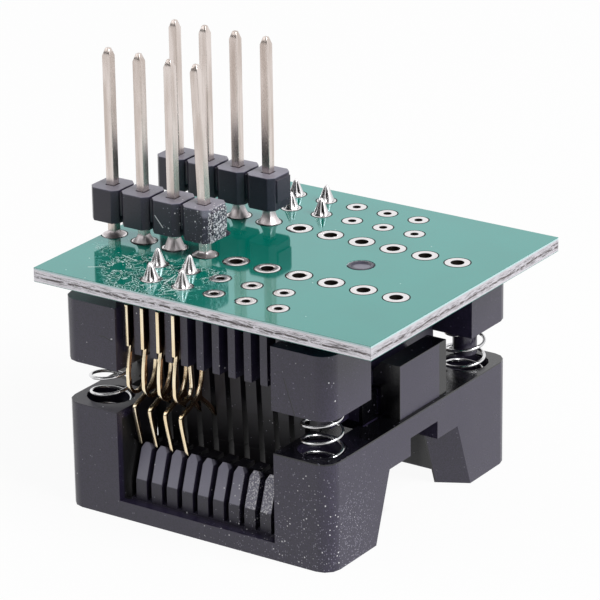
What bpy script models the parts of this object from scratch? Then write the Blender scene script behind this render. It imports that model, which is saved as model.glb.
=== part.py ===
"""Programming adapter: a sprung test socket under a small board that carries two pin headers.

It stands on the rim of the socket's pressed cover, with the header pins up, so the socket is
upside down.  X runs along the socket's rows of contacts, Y across them and Z up.  Lengths are in
metres.  Shapes are drawn about the socket's own centre line, and the last section moves them so
that the origin lies under the middle of the whole adapter.
"""

import math

import bmesh
import bpy
from mathutils import Matrix, Vector

MM = 0.001

# Heights, from the surface that the cover stands on up to the board
COVER_HEIGHT = 7.7 * MM
SPRING_GAP = 3.0 * MM
BLOCK_HEIGHT = 4.5 * MM
BLOCK_TO_BOARD = 0.9 * MM
BOARD_THICKNESS = 1.0 * MM

# Heights in the cover: its bars, the tops of its ribs and how far it is pressed
BAR_HEIGHT = 1.25 * MM
RIB_RECESS = 2.45 * MM
RIB_TOP = COVER_HEIGHT - RIB_RECESS
RIB_KNEE = BAR_HEIGHT + (RIB_TOP - BAR_HEIGHT) * 0.36
RIB_INNER_TOP = BAR_HEIGHT + (RIB_TOP - BAR_HEIGHT) * 0.8
COVER_TRAVEL = (RIB_TOP - BAR_HEIGHT) * 0.6

# Clearances
SEAT_GAP = 0.3 * MM
SLIDE_GAP = 0.3 * MM
PIN_GAP = 0.06 * MM
SLOT_GAP = 0.08 * MM
COIL_GAP = 0.2 * MM

# Pin headers: columns of holes at the board's pitch, of which the first four carry pins
HEADER_PITCH = 2.54 * MM
HEADER_COLUMNS = 10
FITTED_PINS = 4
HEADER_OFFSET = -0.32 * MM
PIN_SIDE = 0.64 * MM
PIN_ABOVE_BOARD = 13.33 * MM
PIN_STUB = 0.1 * MM
PIN_TIP_LENGTH = 0.55 * MM
PIN_TIP_SIDE = 0.3 * MM
BENT_PIN = ("front", 4)
BENT_PIN_LEAN = 0.4 * MM
CELL_CHAMFER = 0.4 * MM
CELL_GROOVE = 0.24 * MM
CELL_HEIGHT = 2.4 * MM
CELL_ABOVE_BOARD = 1.25 * MM
WEB_WIDTH = 1.6 * MM
WEB_RISE = 0.55 * MM
WEB_DROP = 0.2 * MM
WEB_STUB = 0.15 * MM
HEADER_HOLE_RADIUS = 0.54 * MM
JOINT_RADIUS = 0.88 * MM
JOINT_HEIGHTS = {
    "front": (0.35 * MM, 0.55 * MM, 0.85 * MM, 0.3 * MM),
    "back": (0.9 * MM, 0.9 * MM, 0.9 * MM, 1.0 * MM),
}
JOINT_LIP = 0.06 * MM

# Contact positions along the socket
CONTACT_PITCH = 1.27 * MM
CONTACT_POSITIONS = 10
FITTED_CONTACTS = 4
CONTACT_THICKNESS = 0.25 * MM
STRIP_WIDTH = 0.22 * MM
TAIL_HOLE_RADIUS = 0.36 * MM
TAIL_ABOVE_BOARD = 0.22 * MM
TAIL_JOINT_RADIUS = 0.66 * MM
TAIL_JOINT_HEIGHT = 1.5 * MM
TAIL_UNDER_COMB_FRONT = 3.4 * MM
LEVER_TIP_Y = 0.96 * MM
LEVER_TIP_DROP = 0.27 * MM
PLATE_OVERHANG = 0.35 * MM
PLATE_DEPTH = 0.4 * MM

# Plan of the socket along X: from the row of contacts out to the ends of the cover
CORE_END_WALL = 0.45 * MM
CORE_END_GAP = 1.75 * MM
END_WALL = 2.19 * MM
BLOCK_LAP = 0.1 * MM
POCKET_END_WALL = 0.6 * MM
PEG_INSET = 0.9 * MM
SPRING_INSET_X = 2.14 * MM
ROW_LENGTH = CONTACT_PITCH * CONTACT_POSITIONS
CORE_LENGTH = ROW_LENGTH + 2 * CORE_END_WALL
OPENING_LENGTH = CORE_LENGTH + 2 * CORE_END_GAP
SOCKET_LENGTH = OPENING_LENGTH + 2 * END_WALL
POCKET_LENGTH = CORE_LENGTH - 2 * POCKET_END_WALL
BLOCK_INNER_X = ROW_LENGTH / 2 - BLOCK_LAP
PEG_X = CORE_LENGTH / 2 - PEG_INSET
SPRING_X = SOCKET_LENGTH / 2 - SPRING_INSET_X

# Plan of the socket along Y: from the nest out to the front and back of the cover
NEST_WIDTH = 12.8 * MM
NEST_WALL = 1.2 * MM
NEST_GAP = 0.4 * MM
COVER_COMB_DEPTH = 3.7 * MM
RIB_SETBACK = 0.8 * MM
COMB_SETBACK = 0.9 * MM
CORE_DRAFT = 0.4 * MM
BLOCK_WIDTH = 5.0 * MM
SLOT_LAP = 0.5 * MM
SPRING_INSET_Y = 2.4 * MM
OPENING_WIDTH = NEST_WIDTH + 2 * NEST_GAP
POCKET_WIDTH = NEST_WIDTH - 2 * NEST_WALL
RIB_FRONT = OPENING_WIDTH / 2 + COVER_COMB_DEPTH
SOCKET_WIDTH = 2 * (RIB_FRONT + RIB_SETBACK)
COMB_FRONT = SOCKET_WIDTH / 2 - COMB_SETBACK
BLOCK_INNER_Y = SOCKET_WIDTH / 2 - BLOCK_WIDTH
SLOT_INNER_Y = NEST_WIDTH / 2 - SLOT_LAP
SPRING_Y = SOCKET_WIDTH / 2 - SPRING_INSET_Y
INNER_ROW = COMB_FRONT - TAIL_UNDER_COMB_FRONT
OUTER_ROW = INNER_ROW + HEADER_PITCH
CORNER_RADIUS = 1.15 * MM

# Board outline, from the header's holes along X and from the socket along Y
BOARD_LEFT_MARGIN = 0.69 * MM
BOARD_RIGHT_MARGIN = 3.26 * MM
BOARD_FRONT_MARGIN = 0.62 * MM
BOARD_BACK_MARGIN = 0.31 * MM
HEADER_ROW = HEADER_PITCH * 1.5
FIRST_COLUMN = HEADER_OFFSET - HEADER_PITCH * (HEADER_COLUMNS - 1) / 2
LAST_COLUMN = FIRST_COLUMN + HEADER_PITCH * (HEADER_COLUMNS - 1)
BOARD_LEFT = FIRST_COLUMN - BOARD_LEFT_MARGIN
BOARD_RIGHT = LAST_COLUMN + BOARD_RIGHT_MARGIN
BOARD_FRONT = -SOCKET_WIDTH / 2 - BOARD_FRONT_MARGIN
BOARD_BACK = SOCKET_WIDTH / 2 + BOARD_BACK_MARGIN

# Socket base: the core reaches this share of the way from the comb down to the cover's ribs
COMB_HEIGHT = 3.95 * MM
COMB_SLOT = 0.7 * MM
COMB_SLOT_DEPTH = 1.2 * MM
CORE_REACH = 0.614
NEST_DEPTH_UNDER_CORE = 2.8 * MM
PLATFORM_UNDER_CORE = 0.2 * MM
PEG_RADIUS = 0.87 * MM
PEG_HOLE_GAP = 0.12 * MM
PEG_RIM = 0.14 * MM
PEG_DISH = 0.1 * MM

# Cover's combs: the profile of a rib is given by its places across the comb
RIB_WIDTH = 0.86 * MM
RIB_TIP_Y = RIB_FRONT - COVER_COMB_DEPTH * 0.23
RIB_INNER_Y = RIB_FRONT - COVER_COMB_DEPTH * 0.65
CAM_Y = RIB_FRONT - COVER_COMB_DEPTH * 0.35
RIB_POINT = 0.25 * MM
RIB_CHAMFER = 0.5 * MM
GAP_STEP = 0.1 * MM
CAM_FOOT_RISE = 0.2 * MM
CAM_UNDER_RIB = 0.6 * MM

# Arch between the feet on each short side: it is wider at the outer face than inside
FOOT_WIDTH = 5.3 * MM
FOOT_FLARE = 1.18 * MM
ARCH_HEIGHT = 4.9 * MM
ARCH_NARROWING = 1.7 * MM
ARCH_OFFSET = 0.2 * MM
NOTCH_WIDTH = 3.4 * MM
NOTCH_RISE = 1.3 * MM

# Latch: a tab on each short side of the cover hooks over a ledge on the base
BOSS_WALL = 0.89 * MM
HOOK_GRIP = 0.7 * MM
TAB_CLEARANCE = 0.35 * MM
TAB_WIDTH = 5.8 * MM
TAB_HEIGHT = 3.95 * MM
TAB_RECESS = 0.2 * MM
HOOK_HEIGHT = 1.75 * MM
HOOK_FACE = 0.6 * MM
LEDGE_OVERHANG = 1.7 * MM
LEDGE_DEPTH = 2.4 * MM
LATCH_OFFSET = 0.4 * MM
LEDGE_WIDTH = TAB_WIDTH + 2 * LEDGE_OVERHANG
BOSS_END_X = CORE_LENGTH / 2 + BOSS_WALL
HOOK_END_X = BOSS_END_X + SLIDE_GAP
LEDGE_END_X = HOOK_END_X + HOOK_GRIP
TAB_INNER_X = LEDGE_END_X + TAB_CLEARANCE
TAB_TOP = COVER_HEIGHT + TAB_HEIGHT
LEDGE_TOP = TAB_TOP - HOOK_HEIGHT - SLIDE_GAP

# Springs, one in a pocket of each cover post
SPRING_RADIUS = 1.35 * MM
WIRE_RADIUS = 0.125 * MM
SPRING_PITCH = 1.16 * MM
POCKET_DEPTH = 2.0 * MM
SPRING_SEAT_GAP = 0.1 * MM
POST_RADIUS = 0.85 * MM
POST_LENGTH = SPRING_GAP + POCKET_DEPTH - COVER_TRAVEL - SLIDE_GAP

# Heights that follow from the ones above
BLOCK_BOTTOM = COVER_HEIGHT + SPRING_GAP
BLOCK_TOP = BLOCK_BOTTOM + BLOCK_HEIGHT
BOARD_BOTTOM = BLOCK_TOP + BLOCK_TO_BOARD
BOARD_TOP = BOARD_BOTTOM + BOARD_THICKNESS
BASE_TOP = BOARD_BOTTOM - SEAT_GAP
COMB_BOTTOM = BASE_TOP - COMB_HEIGHT
CORE_BOTTOM = COMB_BOTTOM - (COMB_BOTTOM - RIB_TOP) * CORE_REACH
NEST_BOTTOM = CORE_BOTTOM - NEST_DEPTH_UNDER_CORE
CELL_BOTTOM = BOARD_TOP + CELL_ABOVE_BOARD
LEVER_TIP_Z = RIB_TOP - LEVER_TIP_DROP

# Units of the contact's drawing: it reaches from the comb's front to the nest and down to the ribs
ACROSS = (COMB_FRONT - NEST_WIDTH / 2) / 4.0
DOWN = (COMB_BOTTOM - RIB_TOP) / 6.6

BEYOND = 2.0 * MM
BURIED = 0.4 * MM
ROUND_SIDES = 16
SMALL_SIDES = 12
TAIL_SIDES = 8

# Colour, roughness and metallic value of each material
BLACK = ((0.022, 0.021, 0.026), 0.42, 0.0)
BOARD_GREEN = ((0.01, 0.17, 0.10), 0.3, 0.0)
PIN_SILVER = ((0.62, 0.58, 0.54), 0.25, 1.0)
SOLDER_GREY = ((0.55, 0.54, 0.53), 0.35, 1.0)
GOLD = ((0.85, 0.6, 0.27), 0.25, 1.0)
SPRING_STEEL = ((0.6, 0.6, 0.6), 0.2, 1.0)


def remove_existing_objects():
    for item in list(bpy.data.objects):
        bpy.data.objects.remove(item, do_unlink=True)


def make_material(name, look):
    colour, roughness, metallic = look
    result = bpy.data.materials.new(name)
    result.use_nodes = True
    shader = result.node_tree.nodes["Principled BSDF"]
    shader.inputs["Base Color"].default_value = (*colour, 1.0)
    shader.inputs["Roughness"].default_value = roughness
    shader.inputs["Metallic"].default_value = metallic
    return result


def spot(axis, first, second, along):
    """A point of a profile drawn across an axis: Y-Z across X, X-Z across Y, X-Y across Z."""
    if axis == "X":
        return Vector((along, first, second))
    if axis == "Y":
        return Vector((first, along, second))
    return Vector((first, second, along))


def prism(outline, axis, start, end):
    """The outline extruded along an axis, closed at both ends."""
    shape = bmesh.new()
    face = shape.faces.new([shape.verts.new(spot(axis, a, b, start)) for a, b in outline])
    extruded = bmesh.ops.extrude_face_region(shape, geom=[face])
    far_end = [item for item in extruded["geom"] if isinstance(item, bmesh.types.BMVert)]
    bmesh.ops.translate(shape, verts=far_end, vec=spot(axis, 0.0, 0.0, end - start))
    bmesh.ops.recalc_face_normals(shape, faces=shape.faces)
    return shape


def box(low, high):
    outline = [(low[0], low[1]), (high[0], low[1]), (high[0], high[1]), (low[0], high[1])]
    return prism(outline, "Z", low[2], high[2])


def loft(sections):
    """A closed solid through point loops that have the same number of points."""
    shape = bmesh.new()
    rings = [[shape.verts.new(point) for point in section] for section in sections]
    for lower, upper in zip(rings, rings[1:]):
        for index, corner in enumerate(lower):
            following = (index + 1) % len(lower)
            shape.faces.new([corner, lower[following], upper[following], upper[index]])
    shape.faces.new(rings[0])
    shape.faces.new(rings[-1])
    bmesh.ops.recalc_face_normals(shape, faces=shape.faces)
    return shape


def turned(profile, sides, closed=False):
    """The profile of radius and height pairs, spun about Z; closed makes it a ring."""
    shape = bmesh.new()
    points = [shape.verts.new((radius, 0.0, height)) for radius, height in profile]
    pairs = list(zip(points, points[1:]))
    if closed:
        pairs.append((points[-1], points[0]))
    edges = [shape.edges.new(pair) for pair in pairs]
    bmesh.ops.spin(
        shape, geom=points + edges, cent=(0, 0, 0), axis=(0, 0, 1),
        angle=2 * math.pi, steps=sides, use_merge=True,
    )
    bmesh.ops.remove_doubles(shape, verts=shape.verts, dist=0.001 * MM)
    bmesh.ops.recalc_face_normals(shape, faces=shape.faces)
    return shape


def cylinder(radius, low, high, sides):
    return turned([(0.0, low), (radius, low), (radius, high), (0.0, high)], sides)


def gathered(shapes):
    """Several separate shapes in one mesh."""
    result = bmesh.new()
    for shape in shapes:
        part = bpy.data.meshes.new("part")
        shape.to_mesh(part)
        shape.free()
        result.from_mesh(part)
        bpy.data.meshes.remove(part)
    return result


def moved(shape, place):
    bmesh.ops.translate(shape, verts=shape.verts, vec=place)
    return shape


def turned_half_round(shape):
    """The same shape seen from the other side: half a turn about the socket's centre line."""
    bmesh.ops.rotate(shape, verts=shape.verts, cent=(0, 0, 0), matrix=Matrix.Rotation(math.pi, 3, "Z"))
    return shape


def both_sides(make):
    """A shape and its copy turned to the opposite side of the socket, in one mesh."""
    return gathered([make(), turned_half_round(make())])


def add_object(name, shape, material=None):
    mesh = bpy.data.meshes.new(name)
    shape.to_mesh(mesh)
    shape.free()
    result = bpy.data.objects.new(name, mesh)
    bpy.context.collection.objects.link(result)
    if material is not None:
        mesh.materials.append(material)
    return result


def combine(target, shape, operation):
    """Cut a shape out of the target, or join it on, with a Boolean modifier."""
    tool = add_object(f"{target.name}_{operation.lower()}_{len(target.modifiers)}", shape)
    tool.hide_render = True
    tool.display_type = "WIRE"
    modifier = target.modifiers.new(tool.name, "BOOLEAN")
    modifier.operation = operation
    modifier.solver = "EXACT"
    modifier.object = tool
    tool.parent = target
    return tool


def smooth(item, angle_degrees=35):
    item.data.shade_smooth()
    item.data.set_sharp_from_angle(angle=math.radians(angle_degrees))


def rounded_corner(x, y, radius, start_degrees, steps=3):
    """Arc points of a corner whose centre lies one radius inside the point x, y."""
    middle_x = x - math.copysign(radius, x)
    middle_y = y - math.copysign(radius, y)
    points = []
    for step in range(steps + 1):
        angle = math.radians(start_degrees + 90 * step / steps)
        points.append((middle_x + radius * math.cos(angle), middle_y + radius * math.sin(angle)))
    return points


def rounded_rectangle(length, width, radius):
    x = length / 2
    y = width / 2
    outline = rounded_corner(x, y, radius, 0)
    outline += rounded_corner(-x, y, radius, 90)
    outline += rounded_corner(-x, -y, radius, 180)
    outline += rounded_corner(x, -y, radius, 270)
    return outline


def column_x(column):
    return FIRST_COLUMN + HEADER_PITCH * column


def contact_x(position):
    return CONTACT_PITCH * (position - (CONTACT_POSITIONS - 1) / 2)


def tail_y(side, position):
    """The tails alternate between an inner and an outer row; the two sides are staggered."""
    even = position % 2 == 0
    if side == "front":
        return -INNER_ROW if even else -OUTER_ROW
    return OUTER_ROW if even else INNER_ROW


def make_board(green):
    outline = [
        (BOARD_LEFT, BOARD_FRONT), (BOARD_RIGHT, BOARD_FRONT),
        (BOARD_RIGHT, BOARD_BACK), (BOARD_LEFT, BOARD_BACK),
    ]
    board = add_object("board", prism(outline, "Z", BOARD_BOTTOM, BOARD_TOP), green)
    low = BOARD_BOTTOM - BEYOND
    high = BOARD_TOP + BEYOND
    drills = []
    for column in range(HEADER_COLUMNS):
        for row in (-HEADER_ROW, HEADER_ROW):
            drill = cylinder(HEADER_HOLE_RADIUS, low, high, SMALL_SIDES)
            drills.append(moved(drill, (column_x(column), row, 0)))
    for position in range(CONTACT_POSITIONS):
        for side in ("front", "back"):
            drill = cylinder(TAIL_HOLE_RADIUS, low, high, TAIL_SIDES)
            drills.append(moved(drill, (contact_x(position), tail_y(side, position), 0)))
    for x in (-PEG_X, PEG_X):
        drill = cylinder(PEG_RADIUS + PEG_HOLE_GAP, low, high, ROUND_SIDES)
        drills.append(moved(drill, (x, 0, 0)))
    combine(board, gathered(drills), "DIFFERENCE")
    return [board]


def insulator_cell(x, row):
    """One cell of an insulator: a block round the pin, its four upright corners cut off."""
    long = HEADER_PITCH / 2
    wide = long - CELL_GROOVE / 2
    cut = CELL_CHAMFER
    half = [(wide, cut - long), (wide, long - cut), (wide - cut, long), (cut - wide, long)]
    outline = half + [(-a, -b) for a, b in half]
    return prism([(x + a, row + b) for a, b in outline], "Z", CELL_BOTTOM, CELL_BOTTOM + CELL_HEIGHT)


def insulator_web(row):
    """The bar that joins the cells, set back from them, with the stub where the strip was snapped off."""
    end = column_x(FITTED_PINS - 1) + (HEADER_PITCH - CELL_GROOVE) / 2 + WEB_STUB
    low = (column_x(0), row - WEB_WIDTH / 2, CELL_BOTTOM + WEB_RISE)
    return box(low, (end, row + WEB_WIDTH / 2, CELL_BOTTOM + CELL_HEIGHT - WEB_DROP))


def square(half, x, y, z):
    return [Vector((x + a * half, y + b * half, z)) for a, b in ((-1, -1), (1, -1), (1, 1), (-1, 1))]


def header_pin(x, row, lean):
    """A square pin with both ends tapered; a bent pin leans from the top of its insulator."""
    bottom = BOARD_BOTTOM - PIN_STUB
    bend = CELL_BOTTOM + CELL_HEIGHT + PIN_GAP
    top = BOARD_TOP + PIN_ABOVE_BOARD
    shoulder = top - PIN_TIP_LENGTH
    shoulder_lean = lean * (shoulder - bend) / (top - bend)
    side = PIN_SIDE / 2
    return loft([
        square(PIN_TIP_SIDE / 2, x, row, bottom),
        square(side, x, row, bottom + PIN_TIP_LENGTH / 2),
        square(side, x, row, bend),
        square(side, x - shoulder_lean, row, shoulder),
        square(PIN_TIP_SIDE / 2, x - lean, row, top),
    ])


def pin_solder(height):
    """The fillet of solder round a header pin, with the pin's way through it."""
    bore = PIN_SIDE / 2 * math.sqrt(2) + PIN_GAP
    profile = [
        (bore, PIN_GAP), (JOINT_RADIUS, PIN_GAP), (JOINT_RADIUS * 0.8, PIN_GAP + height * 0.15),
        (bore + JOINT_LIP * 2, height * 0.55), (bore + JOINT_LIP, height), (bore, height),
    ]
    return turned(profile, SMALL_SIDES, closed=True)


def make_headers(black, silver, solder):
    items = []
    for side, row in (("front", -HEADER_ROW), ("back", HEADER_ROW)):
        insulator = add_object(f"header_insulator_{side}", insulator_web(row), black)
        cells = gathered([insulator_cell(column_x(column), row) for column in range(FITTED_PINS)])
        combine(insulator, cells, "UNION")
        hole = PIN_SIDE / 2 + PIN_GAP
        holes = []
        for column in range(FITTED_PINS):
            low = (column_x(column) - hole, row - hole, CELL_BOTTOM - BEYOND)
            high = (column_x(column) + hole, row + hole, CELL_BOTTOM + CELL_HEIGHT + BEYOND)
            holes.append(box(low, high))
        combine(insulator, gathered(holes), "DIFFERENCE")
        items.append(insulator)
        for column in range(FITTED_PINS):
            number = column + 1
            lean = BENT_PIN_LEAN if (side, number) == BENT_PIN else 0.0
            pin = header_pin(column_x(column), row, lean)
            items.append(add_object(f"header_pin_{side}_{number}", pin, silver))
            joint = moved(pin_solder(JOINT_HEIGHTS[side][column]), (column_x(column), row, BOARD_TOP))
            fillet = add_object(f"pin_solder_{side}_{number}", joint, solder)
            smooth(fillet)
            items.append(fillet)
    return items


def strip_outline(path, width):
    """The two edges of a strip of even width that follows a path of Y-Z points."""
    left = []
    right = []
    for index, point in enumerate(path):
        before = path[max(index - 1, 0)]
        after = path[min(index + 1, len(path) - 1)]
        along = (Vector(after) - Vector(before)).normalized()
        across = Vector((-along.y, along.x)) * width / 2
        left.append((point[0] + across.x, point[1] + across.y))
        right.append((point[0] - across.x, point[1] - across.y))
    return left, right


def arc(middle, radius, start_degrees, end_degrees, steps):
    points = []
    for step in range(steps + 1):
        angle = math.radians(start_degrees + (end_degrees - start_degrees) * step / steps)
        points.append((middle[0] + radius * math.cos(angle), middle[1] + radius * math.sin(angle)))
    return points


def spring_path():
    """Middle line of a contact's spring: down its outer leg, round, up and over to the lever.

    In the drawing's units, inwards from the comb's front face and up from its underside.
    """
    leg = [(0.0, 0.62), (-0.02, 0.4), (-0.24, -0.6), (-0.3, -1.5)]
    lower_bend = arc((0.68, -2.0), 0.96, 170, 370, 7)
    upper_bend = arc((2.2, 0.35), 0.78, 180, 0, 6)
    return leg + lower_bend + upper_bend + [(2.85, -1.45), (2.66, -2.4)]


def lever_path():
    """Middle line of the lever, from its bend out to the kink over the cover's comb."""
    return [(2.2, -3.1), (1.4, -3.55), (0.38, -3.88), (0.26, -4.2)]


def nose_outline():
    """The nose that branches inwards from the lever's bend, to press on a lead of the chip."""
    upper = [(2.6, -3.14), (3.62, -4.06), (4.25, -4.9), (4.85, -5.2), (5.3, -5.0)]
    lower = [(5.52, -5.2), (5.0, -5.5), (4.1, -5.15), (3.4, -4.2), (2.4, -3.36)]
    return upper + lower


def plate_path():
    """The stepped back edge of the plate, down to the outer leg."""
    return [(0.5, 2.0), (0.3, 1.6)]


def contact_shape(row):
    """A stamped contact of the front row, whose tail rises through the board at the given row."""
    def at(point):
        return (-COMB_FRONT + point[0] * ACROSS, COMB_BOTTOM + point[1] * DOWN)

    spring = [at(point) for point in spring_path()]
    lever = [at(point) for point in lever_path()] + [(-COMB_FRONT + LEVER_TIP_Y, LEVER_TIP_Z)]
    left, right = strip_outline(spring + lever, STRIP_WIDTH)
    left[len(spring):len(spring) + 1] = [at(point) for point in nose_outline()]
    plate_top = BASE_TOP - PLATE_DEPTH
    plate_outer = -COMB_FRONT - PLATE_OVERHANG
    plate_inner = -SLOT_INNER_Y - SLOT_GAP
    step = [at(point) for point in plate_path()]
    tail = CONTACT_THICKNESS / 2
    tail_top = BOARD_TOP + TAIL_ABOVE_BOARD
    head = [
        (plate_outer, spring[0][1]), (plate_outer, plate_top),
        (-row - tail, plate_top), (-row - tail, tail_top), (-row + tail, tail_top),
        (-row + tail, plate_top), (plate_inner, plate_top),
        (plate_inner, step[0][1] + STRIP_WIDTH), *step,
    ]
    outline = head + left + list(reversed(right))
    half = CONTACT_THICKNESS / 2
    return prism(outline, "X", -half, half)


def make_contacts(gold, solder):
    items = []
    for side in ("front", "back"):
        for position in range(FITTED_CONTACTS):
            row = abs(tail_y(side, position))
            number = position + 1
            shape = contact_shape(row)
            if side == "back":
                turned_half_round(shape)
            contact = add_object(f"contact_{side}_{number}", moved(shape, (contact_x(position), 0, 0)), gold)
            items.append(contact)
            place = (contact_x(position), tail_y(side, position), BOARD_TOP)
            joint = add_object(f"tail_solder_{side}_{number}", moved(tail_solder(), place), solder)
            smooth(joint)
            items.append(joint)
    return items


def tail_solder():
    """A pointed cone of solder over the end of a contact's tail, hollow where the tail ends."""
    bore = CONTACT_THICKNESS / 2 * math.sqrt(2) + PIN_GAP
    hollow = TAIL_ABOVE_BOARD + PIN_GAP
    profile = [
        (0.0, hollow), (bore, hollow), (bore, PIN_GAP), (TAIL_JOINT_RADIUS, PIN_GAP),
        (TAIL_JOINT_RADIUS * 0.7, TAIL_JOINT_HEIGHT * 0.2),
        (TAIL_JOINT_RADIUS * 0.45, TAIL_JOINT_HEIGHT * 0.5),
        (TAIL_JOINT_RADIUS * 0.16, TAIL_JOINT_HEIGHT * 0.97), (0.0, TAIL_JOINT_HEIGHT),
    ]
    return turned(profile, TAIL_SIDES)


def core_outline():
    """Cross-section of the base: the comb at the top and the drafted core that holds the nest."""
    half = [
        (COMB_FRONT, BASE_TOP), (COMB_FRONT, COMB_BOTTOM), ((NEST_WIDTH + CORE_DRAFT) / 2, COMB_BOTTOM),
        ((NEST_WIDTH - CORE_DRAFT) / 2, NEST_BOTTOM),
    ]
    return half + [(-y, z) for y, z in reversed(half)]


def corner_block():
    """The block over the spring at the right front corner."""
    x = SOCKET_LENGTH / 2
    y = -SOCKET_WIDTH / 2
    outline = [(BLOCK_INNER_X, y), *rounded_corner(x, y, CORNER_RADIUS, 270)]
    outline += [(x, -BLOCK_INNER_Y), (BLOCK_INNER_X, -BLOCK_INNER_Y)]
    return prism(outline, "Z", BLOCK_BOTTOM, BLOCK_TOP)


def latch_boss():
    """The boss on the base's right end, with the ledge that holds the cover's hook."""
    inner = CORE_LENGTH / 2 - BURIED
    outline = [
        (inner, LEDGE_TOP - LEDGE_DEPTH), (LEDGE_END_X, LEDGE_TOP - LEDGE_DEPTH),
        (LEDGE_END_X, LEDGE_TOP), (BOSS_END_X, LEDGE_TOP), (BOSS_END_X, BASE_TOP), (inner, BASE_TOP),
    ]
    return prism(outline, "Y", LATCH_OFFSET - LEDGE_WIDTH / 2, LATCH_OFFSET + LEDGE_WIDTH / 2)


def end_wall():
    """The core's end between the corner blocks, a step behind the boss."""
    y = BLOCK_INNER_Y + BLOCK_LAP
    low = (CORE_LENGTH / 2 - BURIED, -y, CORE_BOTTOM + GAP_STEP)
    return box(low, (BOSS_END_X - GAP_STEP, y, BASE_TOP - GAP_STEP))


def mirrored(shape, axis):
    """The shape mirrored across the plane X = 0 or Y = 0, with its faces kept outward."""
    scale = Vector((-1, 1, 1)) if axis == "X" else Vector((1, -1, 1))
    bmesh.ops.scale(shape, verts=shape.verts, vec=scale)
    bmesh.ops.reverse_faces(shape, faces=shape.faces)
    return shape


def four_corners(make):
    """A shape of the right front corner, repeated at all four corners, in one mesh."""
    return gathered([
        make(), mirrored(make(), "X"), mirrored(make(), "Y"), mirrored(mirrored(make(), "X"), "Y"),
    ])


def comb_channels():
    """The wide channels at the front of the comb, one for each contact position."""
    channels = []
    for position in range(CONTACT_POSITIONS):
        x = contact_x(position)
        low = (x - COMB_SLOT / 2, -COMB_FRONT - BEYOND, COMB_BOTTOM - BURIED)
        high = (x + COMB_SLOT / 2, -COMB_FRONT + COMB_SLOT_DEPTH, BASE_TOP + BEYOND)
        channels.append(box(low, high))
    return gathered(channels)


def contact_slots():
    """The narrow slots behind the channels, open to the nest where the contacts' noses come through."""
    outer = -SOCKET_WIDTH / 2 - BEYOND
    inner = -POCKET_WIDTH / 2 + BURIED
    reach = CORE_BOTTOM + BURIED
    outline = [
        (outer, NEST_BOTTOM - BEYOND), (inner, NEST_BOTTOM - BEYOND), (inner, CORE_BOTTOM - BURIED),
        (-SLOT_INNER_Y, reach), (-SLOT_INNER_Y, BASE_TOP + BEYOND), (outer, BASE_TOP + BEYOND),
    ]
    half = CONTACT_THICKNESS / 2 + SLOT_GAP
    slots = []
    for position in range(CONTACT_POSITIONS):
        x = contact_x(position)
        slots.append(prism(outline, "X", x - half, x + half))
    return gathered(slots)


def spring_posts():
    """Guide posts inside the two back springs."""
    posts = []
    for x in (-SPRING_X, SPRING_X):
        post = cylinder(POST_RADIUS, BLOCK_BOTTOM - POST_LENGTH, BLOCK_BOTTOM + BURIED, SMALL_SIDES)
        posts.append(moved(post, (x, SPRING_Y, 0)))
    return gathered(posts)


def locating_pegs():
    """Two pegs through the board, their ends slightly dished."""
    rim = PEG_RADIUS - PEG_RIM
    dish = BOARD_TOP - PEG_DISH
    profile = [
        (0.0, BASE_TOP - BURIED), (PEG_RADIUS, BASE_TOP - BURIED), (PEG_RADIUS, BOARD_TOP),
        (rim, BOARD_TOP), (rim - PEG_DISH, dish), (0.0, dish),
    ]
    return gathered([moved(turned(profile, ROUND_SIDES), (x, 0, 0)) for x in (-PEG_X, PEG_X)])


def make_base(black):
    core = prism(core_outline(), "X", -CORE_LENGTH / 2, CORE_LENGTH / 2)
    base = add_object("socket_base", core, black)
    combine(base, four_corners(corner_block), "UNION")
    combine(base, both_sides(end_wall), "UNION")
    combine(base, both_sides(latch_boss), "UNION")
    combine(base, spring_posts(), "UNION")
    combine(base, locating_pegs(), "UNION")
    pocket_low = (-POCKET_LENGTH / 2, -POCKET_WIDTH / 2, NEST_BOTTOM - BEYOND)
    pocket_high = (POCKET_LENGTH / 2, POCKET_WIDTH / 2, CORE_BOTTOM - PLATFORM_UNDER_CORE)
    combine(base, box(pocket_low, pocket_high), "DIFFERENCE")
    combine(base, both_sides(comb_channels), "DIFFERENCE")
    combine(base, both_sides(contact_slots), "DIFFERENCE")
    return [base]


def cover_window():
    low = (-ROW_LENGTH / 2, -SOCKET_WIDTH / 2 - BEYOND, BAR_HEIGHT)
    high = (ROW_LENGTH / 2, -OPENING_WIDTH / 2 + BURIED, COVER_HEIGHT + BEYOND)
    return box(low, high)


def comb_block():
    """The solid that the cover's comb is cut from, along the front window."""
    inner = -OPENING_WIDTH / 2
    outline = [
        (-RIB_FRONT, BAR_HEIGHT - BURIED), (-RIB_FRONT, RIB_KNEE), (-RIB_TIP_Y, RIB_TOP),
        (-RIB_INNER_Y, RIB_INNER_TOP), (inner, RIB_INNER_TOP), (inner, BAR_HEIGHT - BURIED),
    ]
    end = ROW_LENGTH / 2 + BURIED
    return prism(outline, "X", -end, end)


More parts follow.
